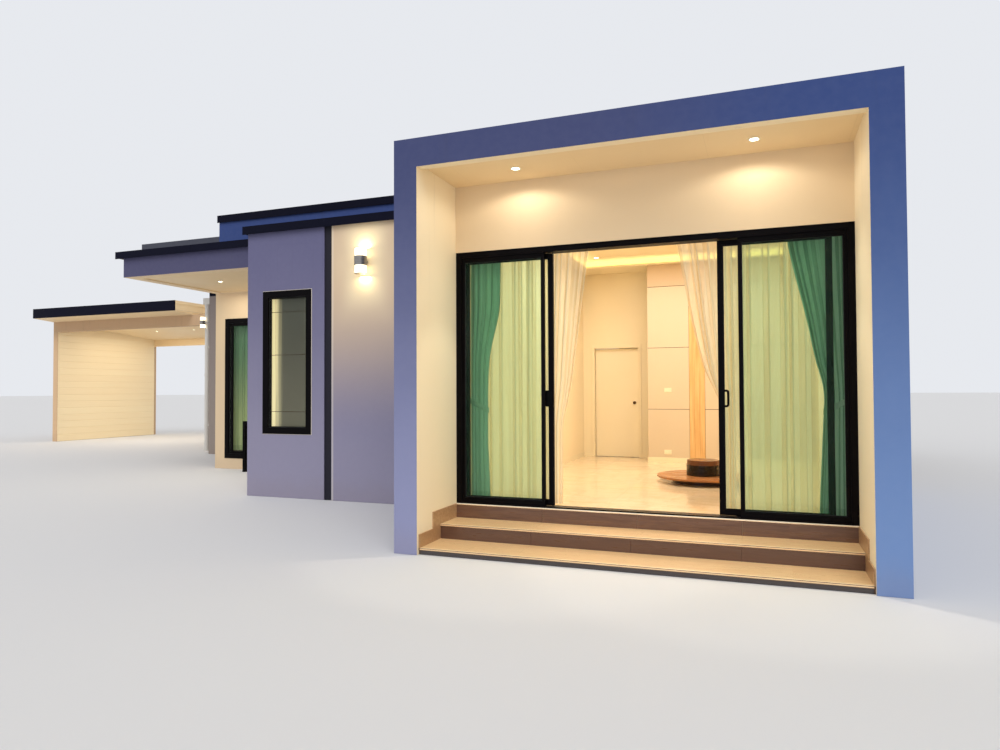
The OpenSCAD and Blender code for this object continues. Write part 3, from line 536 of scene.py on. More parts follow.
def cream_board():
    """Painted board with faint joints every 1.2 m. What looks up is grey sheet with fine lines."""
    f = Finish("cream_board", (244, 214, 168), roughness=0.55)
    x, y = f.axes()[:2]
    cloud = f.noise(1.2, 3.0)
    roller = f.noise(90.0, 3.0, 0.6)
    colour = f.mix(cloud, (248, 224, 182), (240, 212, 166))
    seam = (x.line(1.2, 0.003) + y.line(1.2, 0.003, shift=0.33)).rise(0.0, 1.0)
    colour = f.mix(seam * 0.10, colour, (150, 128, 96))
    sheet = f.mix(cloud, (84, 86, 98), (106, 108, 118))
    colour = f.mix(f.facing()[2].rise(0.7, 0.9), colour, f.mix(x.line(0.25, 0.02), sheet, (66, 68, 80)))
    f.coat(colour, cloud.rise(0.2, 0.8, 0.5, 0.62), roller * 0.4 - seam * 0.3, 0.2, 0.001)


def painted_metal(name, dark, light, shine):
    """Powder coat: a fine orange-peel bump, faint dust and rubbed patches."""
    f = Finish(name, dark, roughness=shine, specular_ior_level=0.05)
    peel = f.noise(420.0, 2.0, 0.5)
    wear = f.noise(7.0, 5.0, 0.65).rise(0.52, 0.8)
    dust = f.noise(2.2, 3.0)
    colour = f.mix(dust, dark, light)
    colour = f.mix(wear * 0.16, colour, (44, 40, 40))
    f.coat(colour, dust * 0.2 + wear * 0.15 + (shine - 0.1), peel, 0.12, 0.0004)


def window_pane(name, clear, surface, shine):
    """A pane: each of its faces lets light through in the colour `clear`, and its own surface, with faint
    wiping marks, shows more where it is seen at a slant."""
    f = Finish(name, surface, roughness=0.03, ior=1.5)
    smear = f.noise(1.3, 4.0, 0.6, f.stretched(1.0, 1.0, 0.5)).rise(0.45, 0.8)
    slant = f.node("ShaderNodeFresnel", None, {"IOR": 1.45})
    f.pane(slant * shine + smear * 0.015 + 0.004, clear,
           base_color=f.mix(smear, surface, (190, 205, 190)), roughness=smear * 0.05 + 0.02)


def tread_finish(name, light, dark, riser, riser_dark, gloss):
    """Wood-look tile: streaks along X in planks with shades of their own. Upright faces have the riser's
    colours."""
    f = Finish(name, light, roughness=gloss, coat_weight=0.25, coat_roughness=0.15)
    x, z = f.axes()[::2]
    plank = f.chance(f.joined((x + 0.4) / 0.97, z * 7.0, 0.0))
    shift = f.joined(plank * 9.0, plank * 5.0, plank * 3.0)
    moved = f.node("ShaderNodeVectorMath", {"operation": "ADD"},
                   {0: f.stretched(1.6, 26.0, 26.0), 1: shift})
    grain = f.noise(1.5, 7.0, 0.62, moved)
    fine = f.noise(6.0, 4.0, 0.7, moved)
    streak = (grain * 0.75 + fine * 0.25).rise(0.3, 0.72)
    top = f.mix(streak, dark, light)
    top = f.mix((plank - 0.5) * 0.2 + 0.1, top, (226, 184, 134))
    front = f.mix(streak, riser_dark, f.mix(z.rise(0.2, 0.21, 0.6, 0.0), riser, riser_dark))
    colour = f.mix(f.facing()[2].at(0.5, 0.1), front, top)
    f.coat(colour, streak.rise(0.0, 1.0, gloss + 0.14, gloss), streak, 0.15, 0.0008)


def floor_finish():
    """Polished pale tile with streaks along X and two sizes of thin veins."""
    f = Finish("floor_finish", (240, 216, 172), roughness=0.1, coat_weight=0.3, coat_roughness=0.08)
    warp = f.noise(1.1, 5.0, 0.6)
    drift = f.node("ShaderNodeTexNoise", None, {"Vector": f.place(), "Scale": 1.4, "Detail": 4.0}, give=1)
    bent = f.node("ShaderNodeVectorMath", {"operation": "MULTIPLY_ADD"},
                  {0: drift, 1: (0.9, 0.9, 0.9), 2: f.place()})
    vein = abs(f.noise(1.7, 6.0, 0.55, bent) - 0.5).fall(0.0, 0.045)
    thin = abs(f.noise(4.2, 5.0, 0.6, bent) - 0.5).fall(0.0, 0.02)
    colour = f.mix(warp, (252, 232, 202), (246, 222, 186))
    streak = f.noise(1.0, 6.0, 0.62, f.stretched(0.9, 15.0, 1.0)).rise(0.42, 0.72)
    colour = f.mix(streak * 0.35, colour, (224, 192, 142))
    colour = f.mix(vein * 0.22, colour, (206, 178, 136))
    colour = f.mix(thin * 0.12, colour, (190, 162, 120))
    f.coat(colour, warp.rise(0.2, 0.8, 0.08, 0.18), warp, 0.04, 0.002)


def smooth_paint(name, light, dark, shine, stipple=120.0):
    """Rolled indoor paint: a fine stipple under soft clouds of shade."""
    f = Finish(name, light, roughness=shine)
    cloud = f.noise(0.9, 3.0)
    nap = f.noise(stipple, 3.0, 0.6)
    f.coat(f.mix(cloud, light, dark), cloud.rise(0.2, 0.8, shine - 0.06, shine + 0.08), nap, 0.12, 0.0006)


def ceiling_paint():
    """Indoor paint that glows along the edge of the ceiling's inset."""
    f = Finish("ceiling_paint", (250, 236, 206), roughness=0.6, emission_strength=0.5)
    x, y, z = f.axes()
    # the distance from the edge of the ceiling's inset, over which the cove's light fades
    (x0, y0), (x1, y1) = INSET
    from_side = (x1 - x0) / 2000 - abs(x - frame_x((x0 + x1) / 2))
    from_end = (y1 - y0) / 2000 - abs(y - frame_y((y0 + y1) / 2))
    inset = f.node("ShaderNodeMath", {"operation": "MINIMUM"}, {0: from_side, 1: from_end})
    cove = inset.fall(0.0, 0.34) * z.at(3.78, 0.01)
    cloud = f.noise(0.9, 3.0)
    f.feed(
        base_color=f.mix(cloud, (251, 238, 208), (246, 230, 196)),
        roughness=cloud.rise(0.2, 0.8, 0.54, 0.68),
        emission_color=f.mix(cove * (0.85 + cloud * 0.3), BLACK, (255, 232, 158)),
        normal=f.bump(f.noise(120.0, 3.0, 0.6), 0.12, 0.0006))


def white_door():
    """White paint, and bronze on what stands out from the door's two faces: its knobs."""
    f = Finish("white_door", (251, 239, 212), roughness=0.4)
    y = f.axes()[1]
    knob = abs(y - frame_y(ROOM_REAR + 100)).at(0.021, 0.0005)
    brush = f.noise(14.0, 3.0)
    colour = f.mix(f.noise(0.9, 3.0), (251, 239, 212), (247, 232, 200))
    bronze = f.mix(brush, (70, 46, 30), (104, 74, 52))
    f.feed(base_color=f.mix(knob, colour, bronze),
           roughness=brush.rise(0.2, 0.8, 0.34, 0.46), metallic=knob * 0.7,
           normal=f.bump(f.noise(60.0, 3.0, 0.6), 0.1, 0.0006))


def timber(name, light, dark, knots, shine):
    """Planed wood with an upright grain, darkened in its pores."""
    f = Finish(name, light, roughness=shine, coat_weight=0.2, coat_roughness=0.2)
    long = [30.0, 30.0, 1.6]
    grain = f.noise(1.0, 7.0, 0.6, f.stretched(*long))
    pores = f.noise(1.0, 4.0, 0.75, f.stretched(*[v * 6.0 for v in long])).rise(0.55, 0.7)
    colour = f.ramp(grain, (0.3, dark), (0.55, light), (0.75, knots))
    colour = f.mix(pores * 0.3, colour, dark)
    f.coat(colour, grain.rise(0.3, 0.7, shine + 0.1, shine - 0.05), grain - pores * 0.6, 0.2, 0.0008)


def dark_wood():
    """Stained wood of the low table: foot, board, drum and lid, each with its own tone from its bottom up."""
    f = Finish("dark_wood", (92, 56, 38), roughness=0.25, coat_weight=0.06, coat_roughness=0.12,
               specular_ior_level=0.2)
    z = f.axes()[2]
    grain = f.noise(1.0, 6.0, 0.6, f.stretched(2.0, 26.0, 26.0))
    board = f.ramp(grain, (0.3, (150, 96, 56)), (0.55, (182, 124, 76)), (0.75, (204, 148, 98)))
    foot = f.ramp(grain, (0.3, (50, 26, 14)), (0.6, (74, 42, 24)))
    drum = f.ramp(grain, (0.3, (24, 17, 11)), (0.6, (36, 26, 18)))
    lid = f.mix(grain, (98, 60, 38), (126, 84, 58))
    colour = foot
    for bottom, soft, wood in ((0.413, 0.0005, board), (0.43935, 0.00025, drum), (0.57875, 0.00025, lid)):
        colour = f.mix(z.at(bottom, soft), colour, wood)
    f.coat(colour, grain.rise(0.3, 0.7, 0.3, 0.2), grain, 0.15, 0.0008)


def woven_cloth(name, light, deep, thread, sheer, glow, low=None):
    """Woven cloth: crossed threads from the cut's own lengths, a doubled hem at the foot with its
    stitches, and painted shade: deeper where a fold turns its side and on the side away from the lamps.
    `glow` is a painted glow of the light that comes through the cloth. `low` gives the two colours towards
    the foot, and `sheer` is about the share of what is behind the cloth that shows through it."""
    f = Finish(name, light, roughness=0.6, sheen_weight=0.2, sheen_roughness=0.5,
               emission_strength=glow, specular_ior_level=0.1)
    u, v = f.weave_map()[:2]
    nx, ny = f.facing()[:2]
    turn, hem_h = 2 * math.pi / thread, 0.098
    weave = (u * turn).wave() * (v * turn).wave() * 0.5 + 0.5
    slub = f.noise(1.0, 4.0, 0.6, f.joined(u * 30.0, v * 1.2))
    broad = f.noise(1.0, 2.0, 0.5, f.joined(u * 5.0, v * 0.25))
    hem = v.fall(hem_h, hem_h + 0.002)
    stitch = abs(v - hem_h).under(0.0016, 0.0004) * (u * 260.0).rest().over(0.4)
    # painted shade: deeper where a fold turns its side and on the side away from the lamps
    turned_away = abs(ny).fall(0.25, 0.98)
    far_side = (nx * ny).rise(-0.42, 0.42)
    shade = (turned_away * 0.35 + far_side * 0.45 + broad.rise(0.35, 0.65) * 0.2).rise(0.08, 0.92)
    colour = f.mix(shade, light, deep)
    if low is not None:
        colour = f.mix(v.fall(0.3, 2.3), colour, f.mix(shade, low[0], low[1]))
    colour = f.mix(slub.rise(0.3, 0.7) * 0.2 + weave * 0.08, colour, deep)
    colour = f.mix(hem * 0.22 + stitch * 0.3, colour, deep)
    # the cloth's colour also glows: painted light that comes through the cloth
    fed = dict(base_color=colour, emission_color=colour, roughness=weave * 0.1 + 0.55,
               normal=f.bump(weave * 0.5 + slub + stitch, 0.25, 0.0008))
    if sheer:
        fed["alpha"] = hem * 0.12 + turned_away * 0.3 + slub * 0.08 + (0.96 - sheer)
    f.feed(**fed)


def lamp_metal():
    """Metal brushed in fine rings round an upright axis."""
    f = Finish("lamp_metal", (150, 146, 142), roughness=0.28, metallic=0.9)
    brushed = f.noise(1.0, 4.0, 0.7, f.stretched(6.0, 6.0, 900.0))
    f.coat(f.mix(brushed, (122, 118, 116), (176, 172, 166)),
           brushed.rise(0.3, 0.7, 0.2, 0.36), brushed, 0.1, 0.0004)


def lit(name, colour, strength, patch):
    """A lit diffuser: frosted glass that shines in one colour, and in soft patches in another."""
    f = Finish(name, colour, roughness=0.4, emission_strength=strength)
    frost = f.noise(60.0, 2.0)
    f.feed(base_color=f.mix(frost, colour, patch), emission_color=f.mix(frost, colour, patch),
           roughness=frost.rise(0.2, 0.8, 0.3, 0.5))


def window_panel():
    """The folded olive surface behind the wing's window, darker towards the top, with painted light in a
    bright strip along its left that also glows.
    """
    f = Finish("window_panel", (160, 148, 120), roughness=0.5, emission_strength=0.62)
    x, z = f.axes()[::2]
    fold = f.noise(1.0, 4.0, 0.6, f.stretched(34.0, 34.0, 0.5))
    olive = f.mix(z.rise(0.9, 3.0), (134, 128, 110), (88, 87, 76))
    bright = f.mix(z.rise(0.9, 3.0), (255, 238, 186), (248, 228, 172))
    # painted light: a bright, glowing strip along the left, with an uneven edge that fades over 190 mm
    share = (x + (fold - 0.5) * 0.12).at(frame_x(-3452.5), 0.095)
    colour = f.mix(share, bright, olive)
    colour = f.mix(fold.rise(0.5, 0.75) * 0.25, colour, (150, 146, 126))
    f.feed(base_color=colour, emission_color=f.mix(share, colour, BLACK),
           roughness=fold.rise(0.3, 0.7, 0.4, 0.6),
           normal=f.bump(fold, 0.2, 0.001))


def rubber_seal():
    """Black rubber with a fine grain."""
    f = Finish("rubber_seal", (22, 22, 24), roughness=0.75)
    f.feed(base_color=f.mix(f.noise(30.0, 3.0), (16, 16, 18), (34, 34, 36)),
           normal=f.bump(f.noise(300.0, 2.0), 0.2, 0.0005))


def white_sealant():
    """White sealant, a little lumpy and patchy."""
    f = Finish("white_sealant", (238, 230, 214), roughness=0.5)
    patches = f.mix(f.noise(12.0, 4.0), (244, 236, 220), (222, 208, 184))
    f.feed(base_color=patches,
           normal=f.bump(f.noise(60.0, 3.0), 0.3, 0.001))


def painted_board():
    """Painted boards 215 mm high, each with a shade of its own, and a fine grain."""
    f = Finish("painted_board", (253, 232, 190), roughness=0.45)
    z = f.axes()[2]
    board = f.chance(f.joined(z / 0.215, 0.0, 0.0))
    grain = f.noise(1.0, 5.0, 0.6, f.stretched(1.2, 1.2, 40.0))
    colour = f.mix(grain, (254, 238, 200), (250, 228, 186))
    colour = f.mix(board * 0.25, colour, (244, 216, 172))
    f.coat(colour, grain.rise(0.3, 0.7, 0.4, 0.55), grain, 0.15, 0.0008)


def track_steel():
    """Steel brushed along X."""
    f = Finish("track_steel", (150, 150, 152), roughness=0.3, metallic=1.0)
    brushed = f.noise(1.0, 4.0, 0.7, f.stretched(6.0, 900.0, 900.0))
    f.feed(base_color=f.mix(brushed, (120, 120, 124), (180, 180, 182)),
           roughness=brushed.rise(0.3, 0.7, 0.22, 0.4))


def make_finishes():
    """Every finish of the house, each of which enters itself in FINISH under its name."""
    # painted light and shade: lighter at the foot, darker towards the top, and bluer across to the right
    wall_render(
        "portal_render", (146, 150, 188), (64, 72, 116), foot=0.03,
        right=(8.4, 10.8, (114, 144, 196), (50, 72, 130)),
        inner=((253, 238, 206), (250, 232, 198)), within=inside_portal,
        deck=((58, 60, 74), (74, 76, 90)))
    # painted shade: darker towards the top; lamp_pool paints the wing lamp's light over it
    wall_render("wing_render", (150, 146, 170), (104, 103, 138), pool=lamp_pool)
    wall_render("grey_render", (156, 144, 136), (140, 128, 124))
    # painted shade: darkened overall for the shade in the middle of the door's header
    wall_render("cream_render", (228, 204, 170), (236, 213, 177), rain=0.02)
    wall_render("canopy_render", (84, 82, 116), (80, 79, 112), top=3.9,
                inner=((248, 224, 186), (242, 216, 176)), within=under_canopy)
    wall_render("parapet_render", (60, 84, 146), (52, 74, 134), top=5.2)
    wall_render("carport_render", (196, 162, 128), (200, 168, 134))
    # painted light: the carport post's front takes lighter colours than the rest of the frame
    wall_render("frame_render", (196, 162, 128), (200, 168, 134),
                inner=((226, 190, 150), (220, 184, 144)), within=post_front_painted_light)
    groove_board()
    dark_metal()
    roof_membrane()
    cream_board()
    painted_metal("black_frame", (6, 5, 7), (14, 11, 13), 0.36)
    painted_metal("black_fitting", (5, 5, 6), (12, 11, 12), 0.28)
    window_pane("clear_glass", (0.935, 0.995, 0.955, 1), (120, 176, 146), 0.7)
    window_pane("window_glass", (0.97, 0.98, 0.96, 1), (120, 126, 122), 0.5)
    tread_finish("step_tile", (250, 216, 166), (232, 190, 138), (118, 86, 67), (90, 63, 50), 0.26)
    tread_finish("nosing_tile", (255, 230, 190), (246, 214, 168), (252, 222, 176), (240, 204, 156), 0.24)
    tread_finish("skirting_tile", (216, 178, 134), (190, 150, 110), (196, 158, 118), (170, 132, 94), 0.3)
    tread_finish("lowest_riser", (84, 74, 72), (62, 55, 55), (84, 74, 72), (62, 55, 55), 0.4)
    floor_finish()
    smooth_paint("inner_plaster", (251, 238, 208), (246, 230, 196), 0.7)
    ceiling_paint()
    smooth_paint("wall_panel", (222, 205, 180), (216, 198, 171), 0.45, 60.0)
    smooth_paint("shaded_panel", (216, 192, 164), (210, 184, 152), 0.45, 60.0)
    smooth_paint("panel_joint", (92, 66, 46), (70, 50, 36), 0.7)
    smooth_paint("white_trim", (251, 240, 214), (244, 231, 200), 0.4, 60.0)
    white_door()
    smooth_paint("white_pipe", (226, 222, 214), (206, 202, 196), 0.35, 40.0)
    timber("warm_wood", (232, 188, 126), (214, 164, 100), (238, 200, 144), 0.35)
    dark_wood()
    woven_cloth("green_fabric", (168, 202, 168), (80, 112, 86), 0.0016, 0.0, 0.12,
                low=((182, 206, 180), (104, 132, 108)))
    woven_cloth("porch_cloth", (110, 160, 120), (70, 112, 80), 0.0016, 0.0, 0.12,
                low=((204, 216, 156), (150, 170, 112)))
    woven_cloth("white_fabric", (255, 241, 203), (214, 182, 130), 0.0012, 0.42, 0.28)
    lamp_metal()
    lit("lit_diffuser", (255, 244, 215), 2.6, (255, 234, 190))
    lit("spot_lens", (255, 250, 232), 7.0, (255, 244, 214))
    lit("cove_light", (255, 240, 160), 1.0, (255, 234, 140))
    window_panel()
    rubber_seal()
    white_sealant()
    painted_board()
    track_steel()


make_finishes()

NODE_FINISH = {
    "portal_render": ["portal_left_wall", "portal_right_wall", "portal_roof"],
    "cream_board": ["portal_soffit", "canopy_soffit", "carport_roof", "carport_lintel"],
    "cream_render": ["door_header_wall", "porch_wall"],
    "canopy_render": ["porch_canopy"],
    "black_frame": ["door_frame", "fixed_leaves", "sliding_leaf_left", "sliding_leaf_right", "window_frames"],
    "black_fitting": ["pull_handle_left", "pull_handle_right", "porch_rail"],
    "clear_glass": ["fixed_glass", "sliding_glass_left", "sliding_glass_right"],
    "window_glass": ["window_glass"],
    "step_tile": ["lower_step", "upper_step"],
    "skirting_tile": ["step_skirting"],
    "floor_finish": ["floor_slab"],
    "wing_render": ["wing_front_wall", "wing_left_wall"],
    "grey_render": ["main_left_wall", "rear_wing_front_wall", "rear_wing_left_wall", "rear_wall",
                    "right_side_wall"],
    "groove_board": ["groove_strip"],
    "dark_metal": ["wing_cap", "canopy_cap", "parapet_cap", "roof_band", "carport_fascia"],
    "roof_membrane": ["wing_roof", "main_roof"],
    "parapet_render": ["parapet_wall"],
    "inner_plaster": ["partition_left", "partition_right", "partition_over_door"],
    "ceiling_paint": ["room_ceiling"],
    "white_door": ["inner_door"],
    "wall_panel": ["feature_wall"],
    "warm_wood": ["wood_strip"],
    "dark_wood": ["low_table"],
    "green_fabric": ["tied_drapes", "porch_curtain"],
    "white_fabric": ["sheer_curtains"],
    "lamp_metal": ["wall_lamps"],
    "white_trim": ["downlights"],
    "white_pipe": ["rainwater_pipe"],
    "frame_render": ["carport_frame"],
    "carport_render": ["carport_boarded_wall"],
}
for finish_name, node_names in NODE_FINISH.items():
    for node_name in node_names:
        for material_slot in NODES[node_name].material_slots:
            material_slot.material = FINISH[finish_name]


# Steps and floors

# Each step's riser front and tread top, from the ground up, and the steps' ends along X
LOWER_STEP, UPPER_STEP, DOORSTEP = (47.0, 60.0), (509.0, 207.0), (905.0, FLOOR)
STEP_ENDS = (257.0, 4113.0)
# How far a tread's edge stands out before its riser, and the tiles' number and gap along X, Y and Z
TREAD_OUT = 12.0
TILE_CUT = ((4, 1, 1), (2.5, 0, 0))


def nosing(y, z):
    """Section of a bullnose tile edge with its upper front corner at (y, z): a flat top, a half round front
    and a drip under it."""
    t = np.linspace(np.pi / 2, 3 * np.pi / 2, 9)
    front = np.stack([y + 10 + 11.5 * np.cos(t), z - 10.5 + 12 * np.sin(t)], axis=1)
    drip = [[y + 14, z - 22.5], [y + 14, z - 8], [y + 34, z - 8]]
    return np.concatenate([[[y + 34, z + 1.5]], front, drip])


def add_steps():
    """Tiled treads with bullnose edges, and tiled risers."""
    treads, edges, risers, lowest = Form(), Form(), Form(), Form()
    for (front, top), (rear, _) in ((LOWER_STEP, UPPER_STEP), (UPPER_STEP, DOORSTEP)):
        lip = front - TREAD_OUT
        edges.add(*bar(nosing(lip, top), *STEP_ENDS))
        treads.add(*eased(*tiled(STEP_ENDS, (lip + 35.5, rear), (top - 6, top + 1.2), *TILE_CUT), 0.8))
    for step, low, high, form in ((LOWER_STEP, 1, 38, lowest), (UPPER_STEP, 61.5, 184, risers),
                                  (DOORSTEP, 208.5, FLOOR - 2, risers)):
        form.add(*eased(*tiled(STEP_ENDS, (step[0] - 7, step[0] + 1), (low, high), *TILE_CUT), 0.8))
    treads.build("tread_tiles", "step_tile")
    edges.build("tread_nosings", "nosing_tile", slot="step_tile")
    risers.build("riser_tiles", "step_tile")
    lowest.build("lowest_riser_tiles", "lowest_riser", slot="step_tile")


def add_floor():
    """The doorstep's edge with the sealant behind it, and the room's floor tiles."""
    seal, edge, floor = Form(), Form(), Form()
    rear, low, floor_start = 926, FLOOR - 7, 1056
    t = np.linspace(0, np.pi / 2, 6)
    bead = np.stack([rear - 15 * np.cos(t), low + 6 + 9 * np.sin(t)], axis=1)
    seal.add(*bar(np.concatenate([[[rear, low]], bead]), ROOM_LEFT, ROOM_RIGHT))
    seal.build("sill_sealant", "white_sealant", slot="step_tile")
    edge.add(*eased((ROOM_LEFT, DOORSTEP[0] - 6, FLOOR - 9), (ROOM_RIGHT, rear + 4, FLOOR + 1.5), 2))
    edge.build("doorstep_edge", "step_tile")
    floor.add(*eased(*tiled((ROOM_LEFT, ROOM_RIGHT), (floor_start, ROOM_REAR), (FLOOR - 9, FLOOR + 1.2),
                            (5, 7, 1), (2.0, 2.0, 0)), 0.7))
    floor.build("room_floor_tiles", "floor_finish")


# Doors and windows

# The windows' top, and the left front corner, width and sill of the wing's window and of the porch's
WINDOW_TOP = 3062.0
WING_WINDOW, WING_WINDOW_W, WING_WINDOW_SILL = (-3670.0, 2569.0), 865.0, 935.0
PORCH_WINDOW, PORCH_WINDOW_W, PORCH_WINDOW_SILL = (-6970.0, 5432.0), 1800.0, 213.0
# Where the rear wall starts, and where the windows stand in the rear wall and in the right side wall
REAR_LEFT, REAR_WINDOWS_Y, RIGHT_WINDOWS_X = -9800.0, 13870.0, 4330.0
# The height of a level joint between panels
JOINT_H = 8.0


def spans(low, cuts, high):
    """What is left of low to high where a joint lies above each cut, as pairs of a low and a high end."""
    return list(zip([low] + [cut + JOINT_H for cut in cuts], list(cuts) + [high]))


def pane_seals(form, left, right, low, high, faces):
    """A dark seal round each of a pane's two faces, the front one first."""
    section = [(0, -0.5), (0, 3.2), (1.5, 3.8), (4.5, 2.2), (4.5, -0.5)]
    for y, way in zip(faces, (-1, 1)):
        form.add(*framed((left, low), (right, high), [(a, way * b) for a, b in section], y))


def add_handle(side, stile, turn, body):
    """A D-shaped grip on a plate on the stile, which reaches out along X by the sign of turn. The left one
    has a web inside its D."""
    plate_half, middle, grip_y = 21, 1477, 990.5
    reach, top, bend = 62, 73.5, 16.0
    handle = Form()
    handle.add(*eased((stile - plate_half, 984, 1394.5), (stile + plate_half, 1000.2, 1559.5), 2.5))
    t = np.linspace(0, np.pi / 2, 7)
    arc = np.stack([reach - bend + bend * np.sin(t), top - bend + bend * np.cos(t)], axis=1)
    half = np.concatenate([[[12, top]], arc])
    path = np.concatenate([half, half[::-1] * [1, -1]])
    line = np.stack([stile + turn * path[:, 0], np.full(len(path), grip_y), middle + path[:, 1]], axis=1)
    handle.add(*swept(line[::turn], rounded(22, 12.5, 4), (0, -1, 0)))
    if side == "left":
        handle.add(*eased((stile - 56, grip_y - 3.5, 1399), (stile - 16, grip_y + 2.5, 1555), 1.5))
    made = handle.build(side + "_door_handle", "black_fitting", body)
    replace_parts(made, "pull_handle_" + side)


def add_door_details():
    """Seals round the panes, rounded handles and the running tracks."""
    fixed_w, fixed_face, slide_w, slide_face, stile_middle = 930, 36, 1000, 54, 27
    unit_left, unit_right, fixed_pane, sliding_pane = 305, 4065, (954, 962), (1014, 1022)
    fixed = Form()
    for left in (unit_left, unit_right - fixed_w):
        pane_seals(fixed, left + fixed_face, left + fixed_w - fixed_face, 427, 2942, fixed_pane)
    fixed.build("fixed_pane_seals", "rubber_seal", slot="black_fitting")
    for side, left, turn in (("left", 313, -1), ("right", 2945, 1)):
        body, seals = side + "_door_leaf", Form()
        pane_seals(seals, left + slide_face, left + slide_w - slide_face, 427.3, 2936, sliding_pane)
        seals.build(side + "_pane_seals", "rubber_seal", body, "black_fitting")
        add_handle(side, left + (slide_w - stile_middle if turn < 0 else stile_middle), turn, body)
    tracks = Form()
    for y in (sum(fixed_pane) / 2, sum(sliding_pane) / 2):
        tracks.add(*eased((unit_left + 1, y - 6, 366.0), (unit_right - 1, y + 6, 367.15), 0.4))
    tracks.build("sill_tracks", "track_steel", slot="black_fitting")


def windows():
    """Each window's first corner, its directions along the wall and through it, its width and its sill."""
    to_rear, to_left = ((1, 0), (0, 1)), ((0, 1), (-1, 0))
    width, sill = 1500, 1300
    found = [(WING_WINDOW, *to_rear, WING_WINDOW_W, WING_WINDOW_SILL),
             (PORCH_WINDOW, *to_rear, PORCH_WINDOW_W, PORCH_WINDOW_SILL)]
    found += [((REAR_LEFT + (ROOM_RIGHT - REAR_LEFT) * share, REAR_WINDOWS_Y), *to_rear, width, sill)
              for share in (0.11, 0.34, 0.57, 0.8)]
    start, length = 6800, 7000
    return found + [((RIGHT_WINDOWS_X, start + length * share), *to_left, width, sill)
                    for share in (0.22, 0.72)]


def add_window_seals():
    """Dark seals where each pane meets its frame."""
    seals, face = Form(), 95
    for corner, along, beyond, width, sill in windows():
        for level, way in ((30, -1), (38, 1)):
            section = [(0, -way), (0, way * 4), (2, way * 5), (7, way * 3), (7, -way)]
            points, faces = framed((face, sill + face), (width - face, WINDOW_TOP - face), section, level)
            across, deep = points[:, :1], points[:, 1:2]
            seals.add(np.hstack([np.array(corner) + across * along + deep * beyond, points[:, 2:]]), faces)
    seals.build("window_seals", "rubber_seal", slot="black_fitting")


def add_wing_window():
    """A pale bead of sealant round the wing's window, and the panel with three level joints that closes it
    from inside."""
    bead, panel, joints = Form(), Form(), Form()
    (x, y), rim = WING_WINDOW, 7
    bead.add(*framed((x - rim, WING_WINDOW_SILL - rim), (x + WING_WINDOW_W + rim, WINDOW_TOP + rim),
                     [(0, 1), (7, -6), (8, 1)], y + 8))
    bead.build("wing_window_sealant", "white_sealant", slot="black_frame")
    left, right, cuts = x - 2, x + WING_WINDOW_W + 2, (1259, 2108, 2751)
    for low, high in spans(WING_WINDOW_SILL, cuts, WINDOW_TOP):
        panel.add(*eased((left, y + 90, low), (right, y + 98, high), 1.5))
    panel.build("wing_window_panel", "window_panel", slot="wall_panel")
    joints.add(*eased([(left, y + 94, z) for z in cuts], [(right, y + 100, z + JOINT_H) for z in cuts], 0.5))
    joints.build("wing_window_joints", "panel_joint", slot="wall_panel")


# Curtains

# Front and rear of the living room's two layers of cloth, their head and foot, and the middle of the ties
DRAPE_DEPTH, SHEER_DEPTH = (1131.5, 1178.5), (1189.5, 1241.5)
CLOTH_HEAD, CLOTH_FOOT = 3699.0, 360.0
TIE_HEIGHT, TIE_MIDDLE_Y = 1400.0, 1155.0
# For each side: heights, and the X of the cloth's free edge at each of them
DRAPES = {
    "left": ((3700, 2990, 2440, 1980, 1690, 980, 530, 359), (704, 682, 673, 553, 529, 526, 548, 552)),
    "right": ((3700, 2990, 2750, 2240, 1800, 1570, 530, 359),
              (3546, 3566, 3612, 3730, 3810, 3880, 3826, 3822)),
}
SHEERS = {
    "left": ((3700, 2990, 1600, 1210, 350), (1735, 1640, 1451, 1357, 1352)),
    "right": ((3700, 2990, 2280, 1750, 1530, 1340, 350), (2452, 2556, 2675, 2797, 2911, 2978, 2984)),
}


def hanging(head_z, foot_z, edge_a, edge_b, pleats, y0, y1, fine, seed, still=0.0):
    """A pleated curtain: at share s across, X starts on a straight fall from the head, and past the share
    `still` it is drawn, more and more, towards the curtain's edge at that height. Y swings between y0 and y1
    as the sine of the pleats' turn, which runs unevenly with s. The swing is narrow and pointed at the head,
    full below it, and each pleat has a swing of its own."""
    head_h, head_rows, fall_rows = 160, 8, 70
    s = np.linspace(0, 1, pleats * fine + 1)[None, :]
    z = np.concatenate([np.linspace(head_z, head_z - head_h, head_rows),
                        np.linspace(head_z - head_h, foot_z, fall_rows)[1:]])[:, None]
    left, right = edge_a(z), edge_b(z)
    uneven = s + (0.30 * np.sin(2 * np.pi * (0.23 * pleats * s + 0.3 + seed))
                  + 0.16 * np.sin(2 * np.pi * (0.61 * pleats * s + seed * 3))) / pleats
    turn = 2 * np.pi * pleats * uneven
    pointed = np.clip((z - (head_z - head_h)) / head_h, 0, 1)
    swing = np.sin(turn) * (1 - 0.3 * pointed) + 0.12 * np.sin(2 * turn + 1.0) * (1 - pointed)
    own = 0.80 + 0.14 * np.sin(2 * np.pi * (5 * s + seed)) + 0.06 * np.sin(2 * np.pi * (11 * s + 0.4))
    middle, reach = (y0 + y1) / 2, (y1 - y0) / 2 - 1.0
    y = middle + reach * swing * own / 1.12
    lean = 0.22 * (right - left) / pleats * np.sin(2 * turn) * (1 - 0.5 * pointed)
    head = right[:1]
    drawn = (np.clip(s - still, 0, 1) / (1 - still)) ** (1.0 if still == 0 else 1.2)
    x = left + (head - left) * s + (right - head) * drawn + lean * np.minimum(1, 6 * np.minimum(s, 1 - s))
    points = np.stack([x, y, z + 0 * x], axis=-1)
    steps = np.linalg.norm(np.diff(points, axis=1), axis=-1)
    across = np.concatenate([np.zeros((len(z), 1)), np.cumsum(steps, axis=1)], axis=1)
    uv = np.stack([across / 1000, (z - foot_z + 0 * x) / 1000], axis=-1)
    return points.reshape(-1, 3), quads(*x.shape), uv, float(across[len(z) // 4].max()) / 1000


